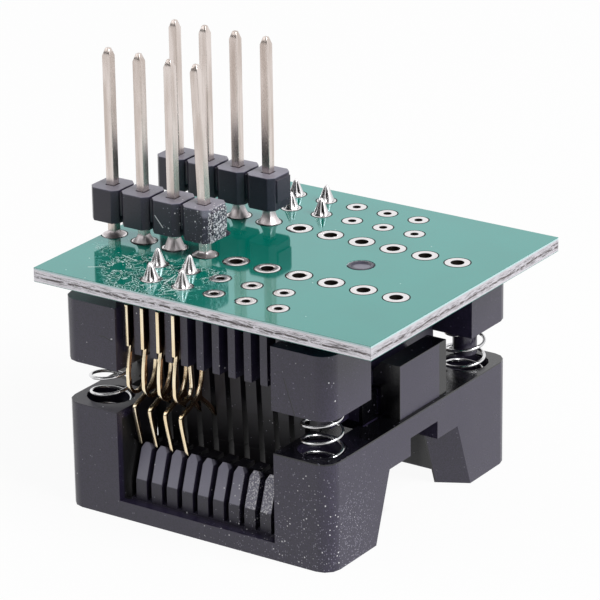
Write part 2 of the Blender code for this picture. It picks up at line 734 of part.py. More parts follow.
def rib_gaps():
    """The gaps between the ribs: they widen near the top, so that each rib ends in a point.

    The floor of each gap rises inwards.  It is the cam that pushes a contact's lever aside, and
    it stays just under the lever's end when the cover is pressed home.
    """
    under_lever = LEVER_TIP_Z - COVER_TRAVEL - SLIDE_GAP
    cam_top = RIB_INNER_TOP - CAM_UNDER_RIB
    floors = [
        (-RIB_FRONT - BURIED, BAR_HEIGHT + GAP_STEP), (-RIB_FRONT, BAR_HEIGHT + GAP_STEP),
        (-RIB_TIP_Y, BAR_HEIGHT + CAM_FOOT_RISE), (-CAM_Y, under_lever), (-RIB_INNER_Y, cam_top),
        (BURIED - OPENING_WIDTH / 2, cam_top),
    ]
    narrow = (CONTACT_PITCH - RIB_WIDTH) / 2
    wide = (CONTACT_PITCH - RIB_POINT) / 2
    top = RIB_TOP + GAP_STEP / 2
    gaps = []
    for position in range(CONTACT_POSITIONS):
        x = contact_x(position)
        sections = []
        for y, floor in floors:
            half = [(narrow, floor), (narrow, top - RIB_CHAMFER), (wide, top), (wide, top + BURIED)]
            right = [Vector((x + a, y, z)) for a, z in half]
            left = [Vector((x - a, y, z)) for a, z in reversed(half)]
            sections.append(right + left)
        gaps.append(loft(sections))
    return gathered(gaps)


def arch_section(x, half_width):
    """Outline of the side arch at one distance from the middle, with the notch over its crown."""
    notch = NOTCH_WIDTH / 2
    crown = half_width - ARCH_NARROWING
    splay = half_width + ARCH_NARROWING / ARCH_HEIGHT * BEYOND
    half = [(splay, -BEYOND), (crown, ARCH_HEIGHT), (notch, ARCH_HEIGHT), (notch, ARCH_HEIGHT + NOTCH_RISE)]
    outline = half + [(-y, z) for y, z in reversed(half)]
    return [Vector((x, y + ARCH_OFFSET, z)) for y, z in outline]


def side_arch():
    """The opening between the feet on the right side; it narrows inwards through the wall."""
    outer = SOCKET_WIDTH / 2 - FOOT_WIDTH
    slope = FOOT_FLARE / END_WALL
    return loft([
        arch_section(OPENING_LENGTH / 2 - BURIED, outer - FOOT_FLARE - slope * BURIED),
        arch_section(SOCKET_LENGTH / 2 + BURIED, outer + slope * BURIED),
    ])


def latch_recess():
    """The hollow inside the right wall that clears the base's latch boss."""
    width = LEDGE_WIDTH / 2 + SLIDE_GAP
    low = (OPENING_LENGTH / 2 - BURIED, LATCH_OFFSET - width, ARCH_HEIGHT - BURIED)
    high = (LEDGE_END_X + SLIDE_GAP, LATCH_OFFSET + width, COVER_HEIGHT + BEYOND)
    return box(low, high)


def latch_tab():
    """The tab on the right wall, with its hook and the slope that lets it snap over the ledge."""
    outer = SOCKET_LENGTH / 2 - TAB_RECESS
    hook_bottom = TAB_TOP - HOOK_HEIGHT
    outline = [
        (outer, COVER_HEIGHT - BURIED), (outer, TAB_TOP), (TAB_INNER_X, TAB_TOP),
        (HOOK_END_X, hook_bottom + HOOK_FACE), (HOOK_END_X, hook_bottom),
        (TAB_INNER_X, hook_bottom), (TAB_INNER_X, COVER_HEIGHT - BURIED),
    ]
    return prism(outline, "Y", LATCH_OFFSET - TAB_WIDTH / 2, LATCH_OFFSET + TAB_WIDTH / 2)


def spring_pocket():
    radius = SPRING_RADIUS + WIRE_RADIUS + COIL_GAP
    pocket = cylinder(radius, COVER_HEIGHT - POCKET_DEPTH, COVER_HEIGHT + BEYOND, ROUND_SIDES)
    return moved(pocket, (SPRING_X, -SPRING_Y, 0))


def make_cover(black):
    outline = rounded_rectangle(SOCKET_LENGTH, SOCKET_WIDTH, CORNER_RADIUS)
    cover = add_object("cover", prism(outline, "Z", 0.0, COVER_HEIGHT), black)
    opening_low = (-OPENING_LENGTH / 2, -OPENING_WIDTH / 2, -BEYOND)
    opening_high = (OPENING_LENGTH / 2, OPENING_WIDTH / 2, COVER_HEIGHT + BEYOND)
    combine(cover, box(opening_low, opening_high), "DIFFERENCE")
    combine(cover, both_sides(cover_window), "DIFFERENCE")
    combine(cover, both_sides(comb_block), "UNION")
    combine(cover, both_sides(rib_gaps), "DIFFERENCE")
    combine(cover, both_sides(side_arch), "DIFFERENCE")
    combine(cover, both_sides(latch_recess), "DIFFERENCE")
    combine(cover, both_sides(latch_tab), "UNION")
    combine(cover, four_corners(spring_pocket), "DIFFERENCE")
    return [cover]


def spring_points():
    """A coil between the pocket's floor and the base, with its end turns closed up."""
    low = COVER_HEIGHT - POCKET_DEPTH + SPRING_SEAT_GAP + WIRE_RADIUS
    high = BLOCK_BOTTOM - SPRING_SEAT_GAP - WIRE_RADIUS
    end_turn = 0.75
    end_rise = 2.4 * WIRE_RADIUS
    open_turns = round((high - low - 2 * end_rise) / SPRING_PITCH)
    turns = open_turns + 2 * end_turn
    steps = round(turns * TAIL_SIDES)
    points = []
    for step in range(steps + 1):
        turn = turns * step / steps
        if turn < end_turn:
            height = low + end_rise * turn / end_turn
        elif turn > turns - end_turn:
            height = high - end_rise * (turns - turn) / end_turn
        else:
            height = low + end_rise + (high - low - 2 * end_rise) * (turn - end_turn) / open_turns
        angle = 2 * math.pi * turn
        points.append((SPRING_RADIUS * math.cos(angle), SPRING_RADIUS * math.sin(angle), height))
    return points


def make_springs(steel):
    items = []
    for side, y in (("front", -SPRING_Y), ("back", SPRING_Y)):
        for end, x in (("left", -SPRING_X), ("right", SPRING_X)):
            wire = bpy.data.curves.new(f"spring_{side}_{end}", "CURVE")
            wire.dimensions = "3D"
            wire.bevel_depth = WIRE_RADIUS
            wire.bevel_resolution = 1
            wire.use_fill_caps = True
            path = wire.splines.new("POLY")
            points = spring_points()
            path.points.add(len(points) - 1)
            for target, point in zip(path.points, points):
                target.co = (*point, 1.0)
            wire.materials.append(steel)
            spring = bpy.data.objects.new(wire.name, wire)
            spring.location = (x, y, 0.0)
            bpy.context.collection.objects.link(spring)
            items.append(spring)
    return items


def centre_on_origin(items):
    """Move everything so that the origin lies under the middle of the adapter's outline."""
    left = min(BOARD_LEFT, FIRST_COLUMN - HEADER_PITCH / 2)
    holder = bpy.data.objects.new("adapter", None)
    holder.location = (-(left + BOARD_RIGHT) / 2, -(BOARD_FRONT + BOARD_BACK) / 2, 0.0)
    bpy.context.collection.objects.link(holder)
    for item in items:
        item.parent = holder


def main():
    remove_existing_objects()
    black = make_material("black_plastic", BLACK)
    silver = make_material("pin_silver", PIN_SILVER)
    solder = make_material("solder", SOLDER_GREY)
    gold = make_material("gold", GOLD)
    items = make_board(make_material("board_green", BOARD_GREEN))
    items += make_headers(black, silver, solder)
    items += make_contacts(gold, solder)
    items += make_base(black)
    items += make_cover(black)
    items += make_springs(make_material("spring_steel", SPRING_STEEL))
    centre_on_origin(items)


main()
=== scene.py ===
# %% [markdown]
# # An adapter for programming small chips
#
# The real thing is a green circuit board with two rows of header pins on one side and a sprung test
# socket on the other.  It stands upside down, on the cover that a finger presses to open the socket.
# This lesson dresses the engineering model of it.  The board is kept with a better finish, every
# other part is replaced by a finer surface of the same form, and two small forms are added: the
# plating of the board's holes and the lower rim of the socket's nest.

# %% Load the frame
import math

import bmesh
import bpy
import numpy as np
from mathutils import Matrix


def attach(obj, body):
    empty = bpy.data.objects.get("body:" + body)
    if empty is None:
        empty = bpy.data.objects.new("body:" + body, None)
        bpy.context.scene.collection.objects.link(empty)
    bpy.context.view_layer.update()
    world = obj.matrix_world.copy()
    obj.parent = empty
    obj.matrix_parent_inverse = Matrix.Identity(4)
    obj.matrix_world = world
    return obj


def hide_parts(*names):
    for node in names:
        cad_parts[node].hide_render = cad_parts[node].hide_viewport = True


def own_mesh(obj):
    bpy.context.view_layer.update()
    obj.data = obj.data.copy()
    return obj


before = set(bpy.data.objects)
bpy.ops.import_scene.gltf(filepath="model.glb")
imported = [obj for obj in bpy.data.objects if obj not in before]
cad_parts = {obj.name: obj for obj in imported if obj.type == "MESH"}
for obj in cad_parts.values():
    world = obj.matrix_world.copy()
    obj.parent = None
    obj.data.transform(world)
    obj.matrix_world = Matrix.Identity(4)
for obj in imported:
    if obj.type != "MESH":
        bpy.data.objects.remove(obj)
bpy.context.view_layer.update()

MM = 0.001
MILLIMETRES = (1000.0, 1000.0, 1000.0)
MARK = "mark"
BASE = "base"
COVER = "cover"
# The socket's middle stands this far from the model's origin.
SHIFT_X = -0.675 * MM
SHIFT_Y = 0.155 * MM

# %% [markdown]
# ## The camera
#
# A camera can be found from a photograph when something in it has a known size.  Here that is the
# board's hole grid, 2.54 mm apart along a row and 7.62 mm between the rows.  The long lens is part
# of the look: from a quarter of a metre away it keeps the socket's upright edges almost parallel.

# %% Place the camera
CAMERA_PLACE = (126.341 * MM, -185.341 * MM, 100.068 * MM)
CAMERA_TURN = (68.914, 0.7664, 33.9059)
FOCAL_LENGTH = 212.73
SENSOR_WIDTH = 36.0
NEAREST = 0.01
FARTHEST = 10.0

camera_data = bpy.data.cameras.new("camera")
camera_data.lens = FOCAL_LENGTH
camera_data.sensor_width = SENSOR_WIDTH
camera_data.clip_start = NEAREST
camera_data.clip_end = FARTHEST
camera = bpy.data.objects.new("camera", camera_data)
camera.location = CAMERA_PLACE
camera.rotation_euler = [math.radians(angle) for angle in CAMERA_TURN]
bpy.context.collection.objects.link(camera)
bpy.context.scene.camera = camera
bpy.context.scene.view_settings.view_transform = "Standard"
print("camera stands", round(math.dist(CAMERA_PLACE, (0, 0, 0)) / MM), "mm from the part")

# %% [markdown]
# ## Writing shader maths as Python
#
# A material's pattern is a formula, and a formula is easier to read as an expression than as a web
# of nodes.  The class Wire wraps one output socket and overloads the operators, so that a * b + c
# adds the Math nodes by itself.  The class Nodes has a single method that adds any other node: its
# type, its settings, and the values or links of its sockets.  The class Finish holds one material.


# %% Wires and nodes
class Wire:
    """One output of a node, with operators that add Math nodes."""

    def __init__(self, nodes, socket):
        self.nodes = nodes
        self.socket = socket

    def maths(self, operation, *operands, clamp=False):
        """A Math node on the operands, or on this value alone where none are given."""
        sockets = dict(enumerate(operands or (self,)))
        return self.nodes.add("ShaderNodeMath", {"operation": operation, "use_clamp": clamp}, sockets)

    def __add__(self, other):
        return self.maths("ADD", self, other)

    def __radd__(self, other):
        return self.maths("ADD", other, self)

    def __sub__(self, other):
        return self.maths("SUBTRACT", self, other)

    def __rsub__(self, other):
        return self.maths("SUBTRACT", other, self)

    def __mul__(self, other):
        return self.maths("MULTIPLY", self, other)

    def __gt__(self, other):
        return self.maths("GREATER_THAN", self, other)

    def __lt__(self, other):
        return self.maths("LESS_THAN", self, other)

    def __abs__(self):
        return self.maths("ABSOLUTE", self)

    def within(self, half):
        """1 where the value lies between minus half and half."""
        return abs(self) < half

    def smallest(self, other):
        return self.maths("MINIMUM", self, other)

    def largest(self, other):
        return self.maths("MAXIMUM", self, other)

    def wrapped(self, low, high):
        """The value, starting again at low each time it passes high."""
        return self.maths("WRAP", self, high, low)

    def beside(self, other):
        """Length of the sloping side of a right triangle that has these two sides."""
        return (self * self + other * other).maths("SQRT")

    def ramp(self, start, end):
        """Rises smoothly from 0 at start to 1 at end; it falls where start is the larger."""
        settings = {"interpolation_type": "SMOOTHSTEP"}
        sockets = {"Value": self, "From Min": start, "From Max": end}
        return self.nodes.add("ShaderNodeMapRange", settings, sockets)

    def between(self, low, high, edge=0.1):
        """1 from low to high, and a soft edge of the given width inside both ends."""
        return self.ramp(low, low + edge) * self.ramp(high, high - edge)


class Nodes:
    """A tree of nodes, and the one method that adds to it."""

    def __init__(self, tree):
        self.tree = tree

    def add(self, kind, settings=None, sockets=None, output=0):
        """Adds a node, sets it up, fills or links its sockets and returns one of its outputs."""
        node = self.tree.nodes.new(kind)
        for key, value in (settings or {}).items():
            setattr(node, key, value)
        self.fill(node, sockets or {})
        return Wire(self, node.outputs[output])

    def fill(self, node, sockets):
        """Gives a node's sockets their values, or links them where a wire is given."""
        for key, value in sockets.items():
            if isinstance(value, Wire):
                self.tree.links.new(value.socket, node.inputs[key])
            else:
                node.inputs[key].default_value = value


# %% Finishes and their patterns
class Finish(Nodes):
    """One material: its Principled shader and the patterns that feed it."""

    def __init__(self, name):
        self.material = bpy.data.materials.new(name)
        self.material.use_nodes = True
        super().__init__(self.material.node_tree)
        self.shader = self.tree.nodes["Principled BSDF"]
        here = self.add("ShaderNodeTexCoord", output="Object")
        middle = (-SHIFT_X / MM, -SHIFT_Y / MM, 0.0)
        sockets = {"Vector": here, "Scale": MILLIMETRES, "Location": middle}
        self.place = self.add("ShaderNodeMapping", sockets=sockets)

    def set(self, **sockets):
        """Values or links for the Principled shader, with underscores for the spaces."""
        self.fill(self.shader, {key.replace("_", " "): value for key, value in sockets.items()})

    def axes(self):
        """X, Y and Z in millimetres from the middle of the socket."""
        kind = "ShaderNodeSeparateXYZ"
        return [self.add(kind, sockets={"Vector": self.place}, output=axis) for axis in range(3)]

    def stretched(self, scale):
        return self.add("ShaderNodeMapping", sockets={"Vector": self.place, "Scale": scale})

    def noise(self, scale, detail=2.0, vector=None, roughness=0.5):
        sockets = {"Scale": scale, "Detail": detail, "Roughness": roughness}
        sockets["Vector"] = self.place if vector is None else vector
        return self.add("ShaderNodeTexNoise", sockets=sockets)

    def specks(self, scale, size, share):
        """Round dots, one in each cell of a scattered pattern, kept in the given share of the cells."""
        kind = "ShaderNodeTexVoronoi"
        sockets = {"Scale": scale, "Vector": self.place}
        chance = self.add("ShaderNodeSeparateColor", sockets={"Color": self.add(kind, {}, sockets, "Color")})
        return (chance < share) * self.add(kind, {}, sockets, "Distance").ramp(size, size * 0.5)

    def vector(self, operation, first, second, output=0):
        return self.add("ShaderNodeVectorMath", {"operation": operation}, {0: first, 1: second}, output)

    def stroke(self, start, end, width):
        """1 on the line between two points, 0 from half the width outwards, by the nearest point."""
        span = np.subtract(end, start)
        from_start = self.vector("SUBTRACT", self.place, tuple(start))
        along = self.vector("DOT_PRODUCT", from_start, tuple(span / span.dot(span)), "Value")
        share = along.maths("ADD", along, 0.0, clamp=True)
        nearest = self.vector("MULTIPLY", tuple(span), share)
        return self.vector("DISTANCE", from_start, nearest, "Value").ramp(width * 0.5, width * 0.3)

    def strokes(self, lines, width):
        """All the lines together."""
        drawn = [self.stroke(start, end, width) for start, end in lines]
        total = drawn[0]
        for line in drawn[1:]:
            total = total.largest(line)
        return total

    def mix(self, factor, first, second):
        """The first colour where the factor is 0 and the second where it is 1."""
        first, second = (value if isinstance(value, Wire) else (*value, 1.0) for value in (first, second))
        return self.add("ShaderNodeMix", {"data_type": "RGBA"}, {0: factor, 6: first, 7: second}, 2)

    def bump(self, height, distance, strength=1.0):
        sockets = {"Height": height, "Distance": distance, "Strength": strength}
        return self.add("ShaderNodeBump", sockets=sockets)


# %% [markdown]
# ## Finishes
#
# Nine finishes dress the part.  The plastic is moulded in a spark-eroded tool, so it has a fine
# grain and a satin gloss; the board is covered with a glossy green lacquer over glass fibre; the
# pins are tinned, the contacts gold-plated, the springs drawn wire, and the solder frozen metal.
# All the patterns read a place in millimetres, counted from the middle of the socket, so a scratch
# or a patch of dust is written down with the same numbers as the parts it lies on.


# %% The moulded plastic
PLASTIC_DARK = (0.012, 0.010, 0.026)
PLASTIC_PALE = (0.035, 0.027, 0.060)
# Below: the pale grey of wear and of painted sheen, a dust white, and a black for dark scratches and painted
# shade.
WORN_AND_SHEEN = (0.33, 0.32, 0.40)
DUST = (0.72, 0.71, 0.74)
BLACK = (0.002, 0.002, 0.003)
GRAIN_SCALE = 11.0
GRAIN_RELIEF = 0.010 * MM
GLOSS = 0.33
FINE_DUST = 8.5
FINE_SPECK = 0.42
COARSE_DUST = 4.5
COARSE_SPECK = 0.30
FROST_SCALE = 8.0
PALE_SCRATCH = 0.09
DARK_SCRATCH = 0.08
SCUFF_AND_SHEEN = 1.1


def moulded_plastic(name, dusty, rubbed_and_sheen, painted_shade, pale_scratches, dark_scratches, scuffs_and_sheen):
    """Satin black with a fine even grain, dust, wear with painted sheen, faces painted black for shade,
    scratches and scuff marks.
    """
    finish = Finish(name)
    x, y, z = finish.axes()
    tone = finish.noise(0.5, 3.0)
    grain = finish.noise(GRAIN_SCALE, 3.0)
    share = dusty(x, y, z)
    fine = finish.specks(FINE_DUST, FINE_SPECK, share * 0.7)
    coarse = finish.specks(COARSE_DUST, COARSE_SPECK, share * 0.4)
    frost = finish.noise(FROST_SCALE, 1.0).ramp(0.53, 0.60) * share.ramp(1.0, 1.7)
    pale = coarse.largest(finish.strokes(pale_scratches, PALE_SCRATCH)).largest(frost * 0.8)
    dark = finish.strokes(dark_scratches, DARK_SCRATCH)
    wear_and_sheen = (fine * 0.65).largest(rubbed_and_sheen(x, y, z)).largest(finish.strokes(scuffs_and_sheen, SCUFF_AND_SHEEN) * 0.45)
    painted_black = painted_shade(x, y, z)
    colour = finish.mix(grain.ramp(0.3, 0.75), PLASTIC_DARK, PLASTIC_PALE)
    # Black is painted shade on the masked faces and dark scratches; the pale grey is wear together with
    # painted sheen.
    for mask, tint in ((painted_black, BLACK), (wear_and_sheen, WORN_AND_SHEEN), (pale, DUST), (dark, BLACK)):
        colour = finish.mix(mask, colour, tint)
    # The faces painted black for shade are matt, but for those at the right-hand end, which shine more than
    # the rest.
    matt = painted_black * (x.ramp(7.0, 6.0) * 0.37 - 0.14)
    finish.set(
        Base_Color=colour,
        Roughness=GLOSS + (tone - 0.5) * 0.15 + (grain - 0.5) * 0.25 + matt,
        Normal=finish.bump(grain + pale - dark * 2.0, GRAIN_RELIEF, 0.7),
        IOR=1.58,
    )
    return finish


# %% [markdown]
# ## Dust, wear, painted sheen and painted shade
#
# Dust gathers where the socket is handled, and the levers of the contacts rub the ribs that they
# slide over; those slides also carry a painted sheen.  Each mask below is a product of soft steps in
# X, Y and Z, so it is 1 on some faces of the part and 0 on the others.  The same steps paint shade:
# they make the faces black that look into the socket.

# %% Where the plastic is dusty, has wear and painted sheen, and is painted black for shade
RIB_PITCH = 1.27
RIB_HALF = 0.43
RIB_ROW = 5.9
RIB_KNEE_Z = 2.8
RIB_TOP_Z = 7.2
RIB_BACK = 9.3
RIB_FRONT = 10.8
WINDOW = 6.8
COVER_TOP_Z = 7.6
CELL_TOP = 20.74


def slides(x, y, z):
    """The slanted upper faces of the cover's ribs, which the contacts' levers slide over."""
    ribs = abs(x.wrapped(-RIB_PITCH / 2, RIB_PITCH / 2)).ramp(RIB_HALF + 0.01, RIB_HALF - 0.05)
    ribs = ribs * abs(x).ramp(RIB_ROW, RIB_ROW - 0.1) * z.ramp(RIB_TOP_Z, RIB_TOP_Z - 0.2)
    ribs = ribs * z.ramp(RIB_KNEE_Z - 0.05, RIB_KNEE_Z + 0.05)
    return ribs * abs(y).between(RIB_BACK, RIB_FRONT, 0.2)


def socket_dust(x, y, z):
    """Little dust everywhere, much at the front right-hand corner and on the ribs beside it."""
    corner = x.ramp(-1.0, 7.0) * y.ramp(-4.0, -9.0) * z.ramp(9.0, 2.0)
    comb = x.ramp(-1.0, 4.0) * z.ramp(10.0, 13.0)
    return corner * 0.45 + comb * 0.03 + slides(x, y, z) * x.ramp(1.0, 4.5) * 1.7 + 0.015


def socket_rub_and_sheen(x, y, z):
    """Contacts rub the slides of the ribs each time the cover is pressed; the pale tone there is wear and
    painted sheen together.
    """
    return slides(x, y, z) * 0.6


def socket_painted_shade(x, y, z):
    """Painted shade, black: inside, below the ribs' knees, beside and over the tabs, on the cover's top."""
    beside = (abs(y) > 2.45) * (abs(y) < 6.25) * (abs(x) > 8.4) * (z > COVER_TOP_Z)
    ribs = abs(y).between(RIB_BACK - 0.1, RIB_FRONT) * abs(x).ramp(WINDOW, WINDOW - 0.1)
    ribs = ribs * z.ramp(RIB_TOP_Z, RIB_TOP_Z - 0.2)
    knee = z.ramp(RIB_KNEE_Z + 0.05, RIB_KNEE_Z - 0.05) * 0.4
    low_ribs = ribs * knee.largest(abs(x).ramp(RIB_ROW - 0.1, RIB_ROW))
    nest = x.between(-6.6, 6.6) * y.between(-9.3, 10.2) * z.between(3.3, 15.0) * 0.75
    opening = (abs(x) < 8.65) * (abs(y) < 6.9) * (z > 0.1) * (z < COVER_TOP_Z + 0.05) * 0.9
    top = (z > COVER_TOP_Z) * (z < COVER_TOP_Z + 0.2) * (x.ramp(2.0, 5.0) * 0.5 + 0.4)
    tabs = (z > 11.6) * (abs(x) > 9.0) * (abs(y) < 3.6)
    return beside.largest(low_ribs).largest(nest).largest(opening).largest(top).largest(tabs)


def header_dust(x, y, z):
    """Fine crumbs on the front row's last cell, where the strip was snapped off, and fewer before it."""
    end = x.ramp(-3.2, -3.0) * 1.6 + x.ramp(-5.0, -3.6) * 0.4 + x.ramp(-7.5, -4.5) * 0.15
    return end * y.ramp(0.0, -3.0) + 0.005


def header_painted_sheen(x, y, z):
    """Painted sheen on the tops of the cells, which makes them paler than their sides."""
    return z.ramp(CELL_TOP - 0.06, CELL_TOP) * 0.5


def header_painted_shade(x, y, z):
    """Painted shade on the sides of the cells, which makes them blacker than their tops."""
    return z.ramp(CELL_TOP - 0.04, CELL_TOP - 0.14) * 0.4


# %% The two black plastics
BLOCK_FACE = -11.3
CELL_FACE = -5.08
PEG_X = 6.0
PEG_TOP = 17.1
socket_black = moulded_plastic(
    "socket_black", socket_dust, socket_rub_and_sheen, socket_painted_shade,
    pale_scratches=[((-6.62, BLOCK_FACE, 12.96), (-6.55, BLOCK_FACE, 12.98))],
    dark_scratches=[
        ((7.25, BLOCK_FACE, 13.19), (8.09, BLOCK_FACE, 10.75)),
        ((-7.58, BLOCK_FACE, 13.02), (-7.1, BLOCK_FACE, 13.0)),
        ((-7.1, BLOCK_FACE, 13.0), (-6.5, BLOCK_FACE, 12.8)),
    ],
    # The pale marks on the pegs' tops are partly wear and partly a painted highlight.
    scuffs_and_sheen=[((x - 0.2, 0.0, PEG_TOP), (x + 0.2, 0.1, PEG_TOP)) for x in (-PEG_X, PEG_X)],
)
header_black = moulded_plastic(
    "header_black", header_dust, header_painted_sheen, header_painted_shade,
    pale_scratches=[
        ((-7.32, CELL_FACE, 19.67), (-6.68, CELL_FACE, 18.93)),
        ((-6.22, CELL_FACE, 18.98), (-6.18, CELL_FACE, 18.95)),
    ],
    dark_scratches=[((-5.2, CELL_FACE, 19.9), (-4.6, CELL_FACE, 20.2))],
    scuffs_and_sheen=[((-3.1, CELL_FACE, 20.6), (-3.0, CELL_FACE, 20.7))],
)
print("the socket's plastic has", len(socket_black.tree.nodes), "nodes")

# %% [markdown]
# ## The circuit board
#
# The lacquer is a clear green film, so the material has a second, clear coat, and most of what one
# sees on it is the mirrored surroundings.  The plated holes lie on a regular grid, and a distance
# that starts again every 2.54 mm gives the thin dark line where the lacquer ends round each ring.

# %% The circuit board
LACQUER = (0.002, 0.215, 0.150)
LACQUER_DEEP = (0.001, 0.180, 0.122)
CLEAR_TINT = (0.42, 0.95, 1.0, 1.0)
PALE_MARK = (0.74, 0.86, 0.84)
DARK_MARK = (0.002, 0.020, 0.018)
RING_LINE = (0.010, 0.020, 0.020)
GLASS_FIBRE = (0.93, 0.90, 0.96)
FIBRE_SHADOW = (0.075, 0.060, 0.060)
SAWN_FIBRE = (0.55, 0.53, 0.57)
BOARD_RIGHT = 14.37 * MM
LACQUER_RIM = (0.42, 0.66, 0.66)
BOARD_BOTTOM = 16.1 * MM
BOARD_TOP = 17.1 * MM
LACQUER_DEPTH = 0.03
PITCH = 2.54 * MM
ROW_Y = 3.81 * MM
FIRST_COLUMN = -11.75 * MM
CONTACT_PITCH = 1.27 * MM
INNER_ROW = 7.0 * MM
OUTER_ROW = 9.54 * MM
HEADER_RING = 0.86 * MM
TAIL_RING = 0.68 * MM
LINE_OFFSET = 0.04
LINE_EDGE = 0.03
LAST_COLUMN_END = 12.2


def thin_line(distance):
    """1 on a line that lies just outside a ring, given the distance to the ring."""
    return abs(distance - LINE_OFFSET).ramp(LINE_OFFSET + LINE_EDGE, LINE_OFFSET)


def ring_lines(x, y):
    """A thin line round each ring, from the distance to the nearest hole of the three hole patterns."""
    half = PITCH / MM / 2
    column = (x - FIRST_COLUMN / MM).wrapped(-half, half)
    header = column.beside(abs(y) - ROW_Y / MM) - HEADER_RING / MM
    inner = INNER_ROW / MM
    outer = OUTER_ROW / MM
    lines = thin_line(header) * (x < LAST_COLUMN_END)
    for first, near, far in ((-4.5, inner, outer), (-3.5, outer, inner)):
        start = first * CONTACT_PITCH / MM
        across = (x - start).wrapped(-half, half)
        ring = across.beside(abs(y + near).smallest(abs(y - far))) - TAIL_RING / MM
        lines = lines.largest(thin_line(ring) * (x - start - 4 * half).within(5 * half))
    return lines


def board_edge(finish, z):
    """Sawn glass fibre: how dark the torn layers in the middle of its height are."""
    up = (z - BOARD_BOTTOM / MM) * (MM / (BOARD_TOP - BOARD_BOTTOM))
    wander = finish.noise(1.0, 3.0, finish.stretched((0.6, 0.6, 0.1)))
    torn = finish.noise(1.0, 4.0, finish.stretched((2.2, 2.2, 5.0)), 0.7)
    middle = abs(up - 0.40 + (wander - 0.5) * 0.35).ramp(0.11, 0.02) * torn.ramp(0.38, 0.52)
    layers = finish.noise(1.0, 5.0, finish.stretched((1.3, 1.3, 18.0)), 0.75).ramp(0.48, 0.60)
    band = abs(up - 0.45).ramp(0.45, 0.16)
    return middle.largest(layers * band * 0.85)


BOARD_SCRATCH = 0.1
LACQUER_RIM_HEIGHT = 0.14
BOARD_RELIEF = 0.03 * MM


def splashes(finish, x, y):
    """Dried flux round the front tails: its pale marks and its dark grooves."""
    top = BOARD_TOP / MM
    lines = [
        ((-8.79, -6.84, top), (-7.3, -7.27, top)), ((-3.21, -9.83, top), (-3.52, -8.05, top)),
        ((-7.1, -8.26, top), (-7.04, -8.24, top)), ((-3.9, 10.0, top), (-3.86, 10.02, top)),
        ((-9.4, -9.9, top), (-8.5, -9.3, top)), ((-2.4, -10.9, top), (-1.9, -10.2, top)),
    ]
    splashed = x.ramp(0.5, -1.5) * y.ramp(-5.0, -6.4) * (x + (y + 7.1) * 0.9).ramp(-11.4, -10.4)
    around = (x + 4.0).beside(y + 8.6).ramp(5.5, 3.0)
    crumbs = finish.specks(3.0, 0.2, splashed * 0.4 + 0.015)
    wet = splashed * (finish.noise(0.45, 2.0) + around * 0.08).ramp(0.44, 0.52)
    swirl = finish.noise(1.5, 2.5)
    ripple = abs(swirl - 0.5).ramp(0.014, 0.006).largest(abs(swirl - 0.6).ramp(0.012, 0.005)) * wet
    groove = abs(swirl - 0.53).ramp(0.012, 0.005) * wet
    pale = finish.strokes(lines, BOARD_SCRATCH).largest(crumbs).largest(ripple)
    return pale, pale * (0.75 + around * 0.25), groove * 0.9


def lacquered_board():
    """Green lacquer on both faces, thin marks, and bare glass fibre round the edges."""
    finish = Finish("board_green")
    x, y, z = finish.axes()
    edge = (z > BOARD_BOTTOM / MM + LACQUER_DEPTH) * (z < BOARD_TOP / MM - LACQUER_DEPTH)
    streak = board_edge(finish, z)
    sawn = x > BOARD_RIGHT / MM - LACQUER_DEPTH
    fibre = finish.mix(streak, finish.mix(sawn, GLASS_FIBRE, SAWN_FIBRE), FIBRE_SHADOW)
    green = finish.mix(finish.noise(0.18, 2.0).ramp(0.3, 0.8), LACQUER, LACQUER_DEEP)
    line = ring_lines(x, y) * (1.0 - edge)
    green = finish.mix(line, green, RING_LINE)
    pale, tint, groove = splashes(finish, x, y)
    green = finish.mix(groove, green, DARK_MARK)
    green = finish.mix(tint, green, PALE_MARK)
    fibre = finish.mix((z > BOARD_TOP / MM - LACQUER_RIM_HEIGHT) * 0.7, fibre, LACQUER_RIM)
    finish.set(
        Base_Color=finish.mix(edge, green, fibre),
        Roughness=0.08 + edge * 0.6 + line * 0.5,
        Coat_Weight=(1.0 - edge) * (1.0 - line) * (1.0 - pale),
        Metallic=line,
        Coat_Roughness=0.05,
        Coat_Tint=CLEAR_TINT,
        Normal=finish.bump(streak * edge + pale - line * 3.0, BOARD_RELIEF, 0.5),
        IOR=1.55,
    )
    return finish


board_green = lacquered_board()
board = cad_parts["board"]
board.data.materials.clear()
board.data.materials.append(board_green.material)
print("the board's lacquer has", len(board_green.tree.nodes), "nodes")

# %% [markdown]
# ## The metals
#
# Tin, solder, gold and spring steel differ in tone and in how sharply they mirror.  Each is one
# call of the same function: two close tones in a slow pattern, and a third tone where an attribute
# marks a face or a point: painted shade on the flat sides of the contacts, and flux with painted
# shade in a peak's creases and at its foot.

# %% The metals
TIN = (0.76, 0.685, 0.65)
TIN_DEEP = (0.58, 0.50, 0.455)
SOLDER_METAL = (0.90, 0.88, 0.89)
SOLDER_DEEP = (0.74, 0.71, 0.72)
DULL_SOLDER = (0.78, 0.72, 0.73)
DULL_DEEP = (0.58, 0.53, 0.54)
FLUX_AND_SHADE = (0.020, 0.016, 0.014)
GOLD = (0.97, 0.86, 0.64)
GOLD_DEEP = (0.88, 0.70, 0.45)
GOLD_SIDE_SHADE = (0.50, 0.29, 0.18)
BARREL_SHADE = (0.03, 0.025, 0.022)
STEEL = (0.76, 0.76, 0.77)
STEEL_DEEP = (0.58, 0.58, 0.59)


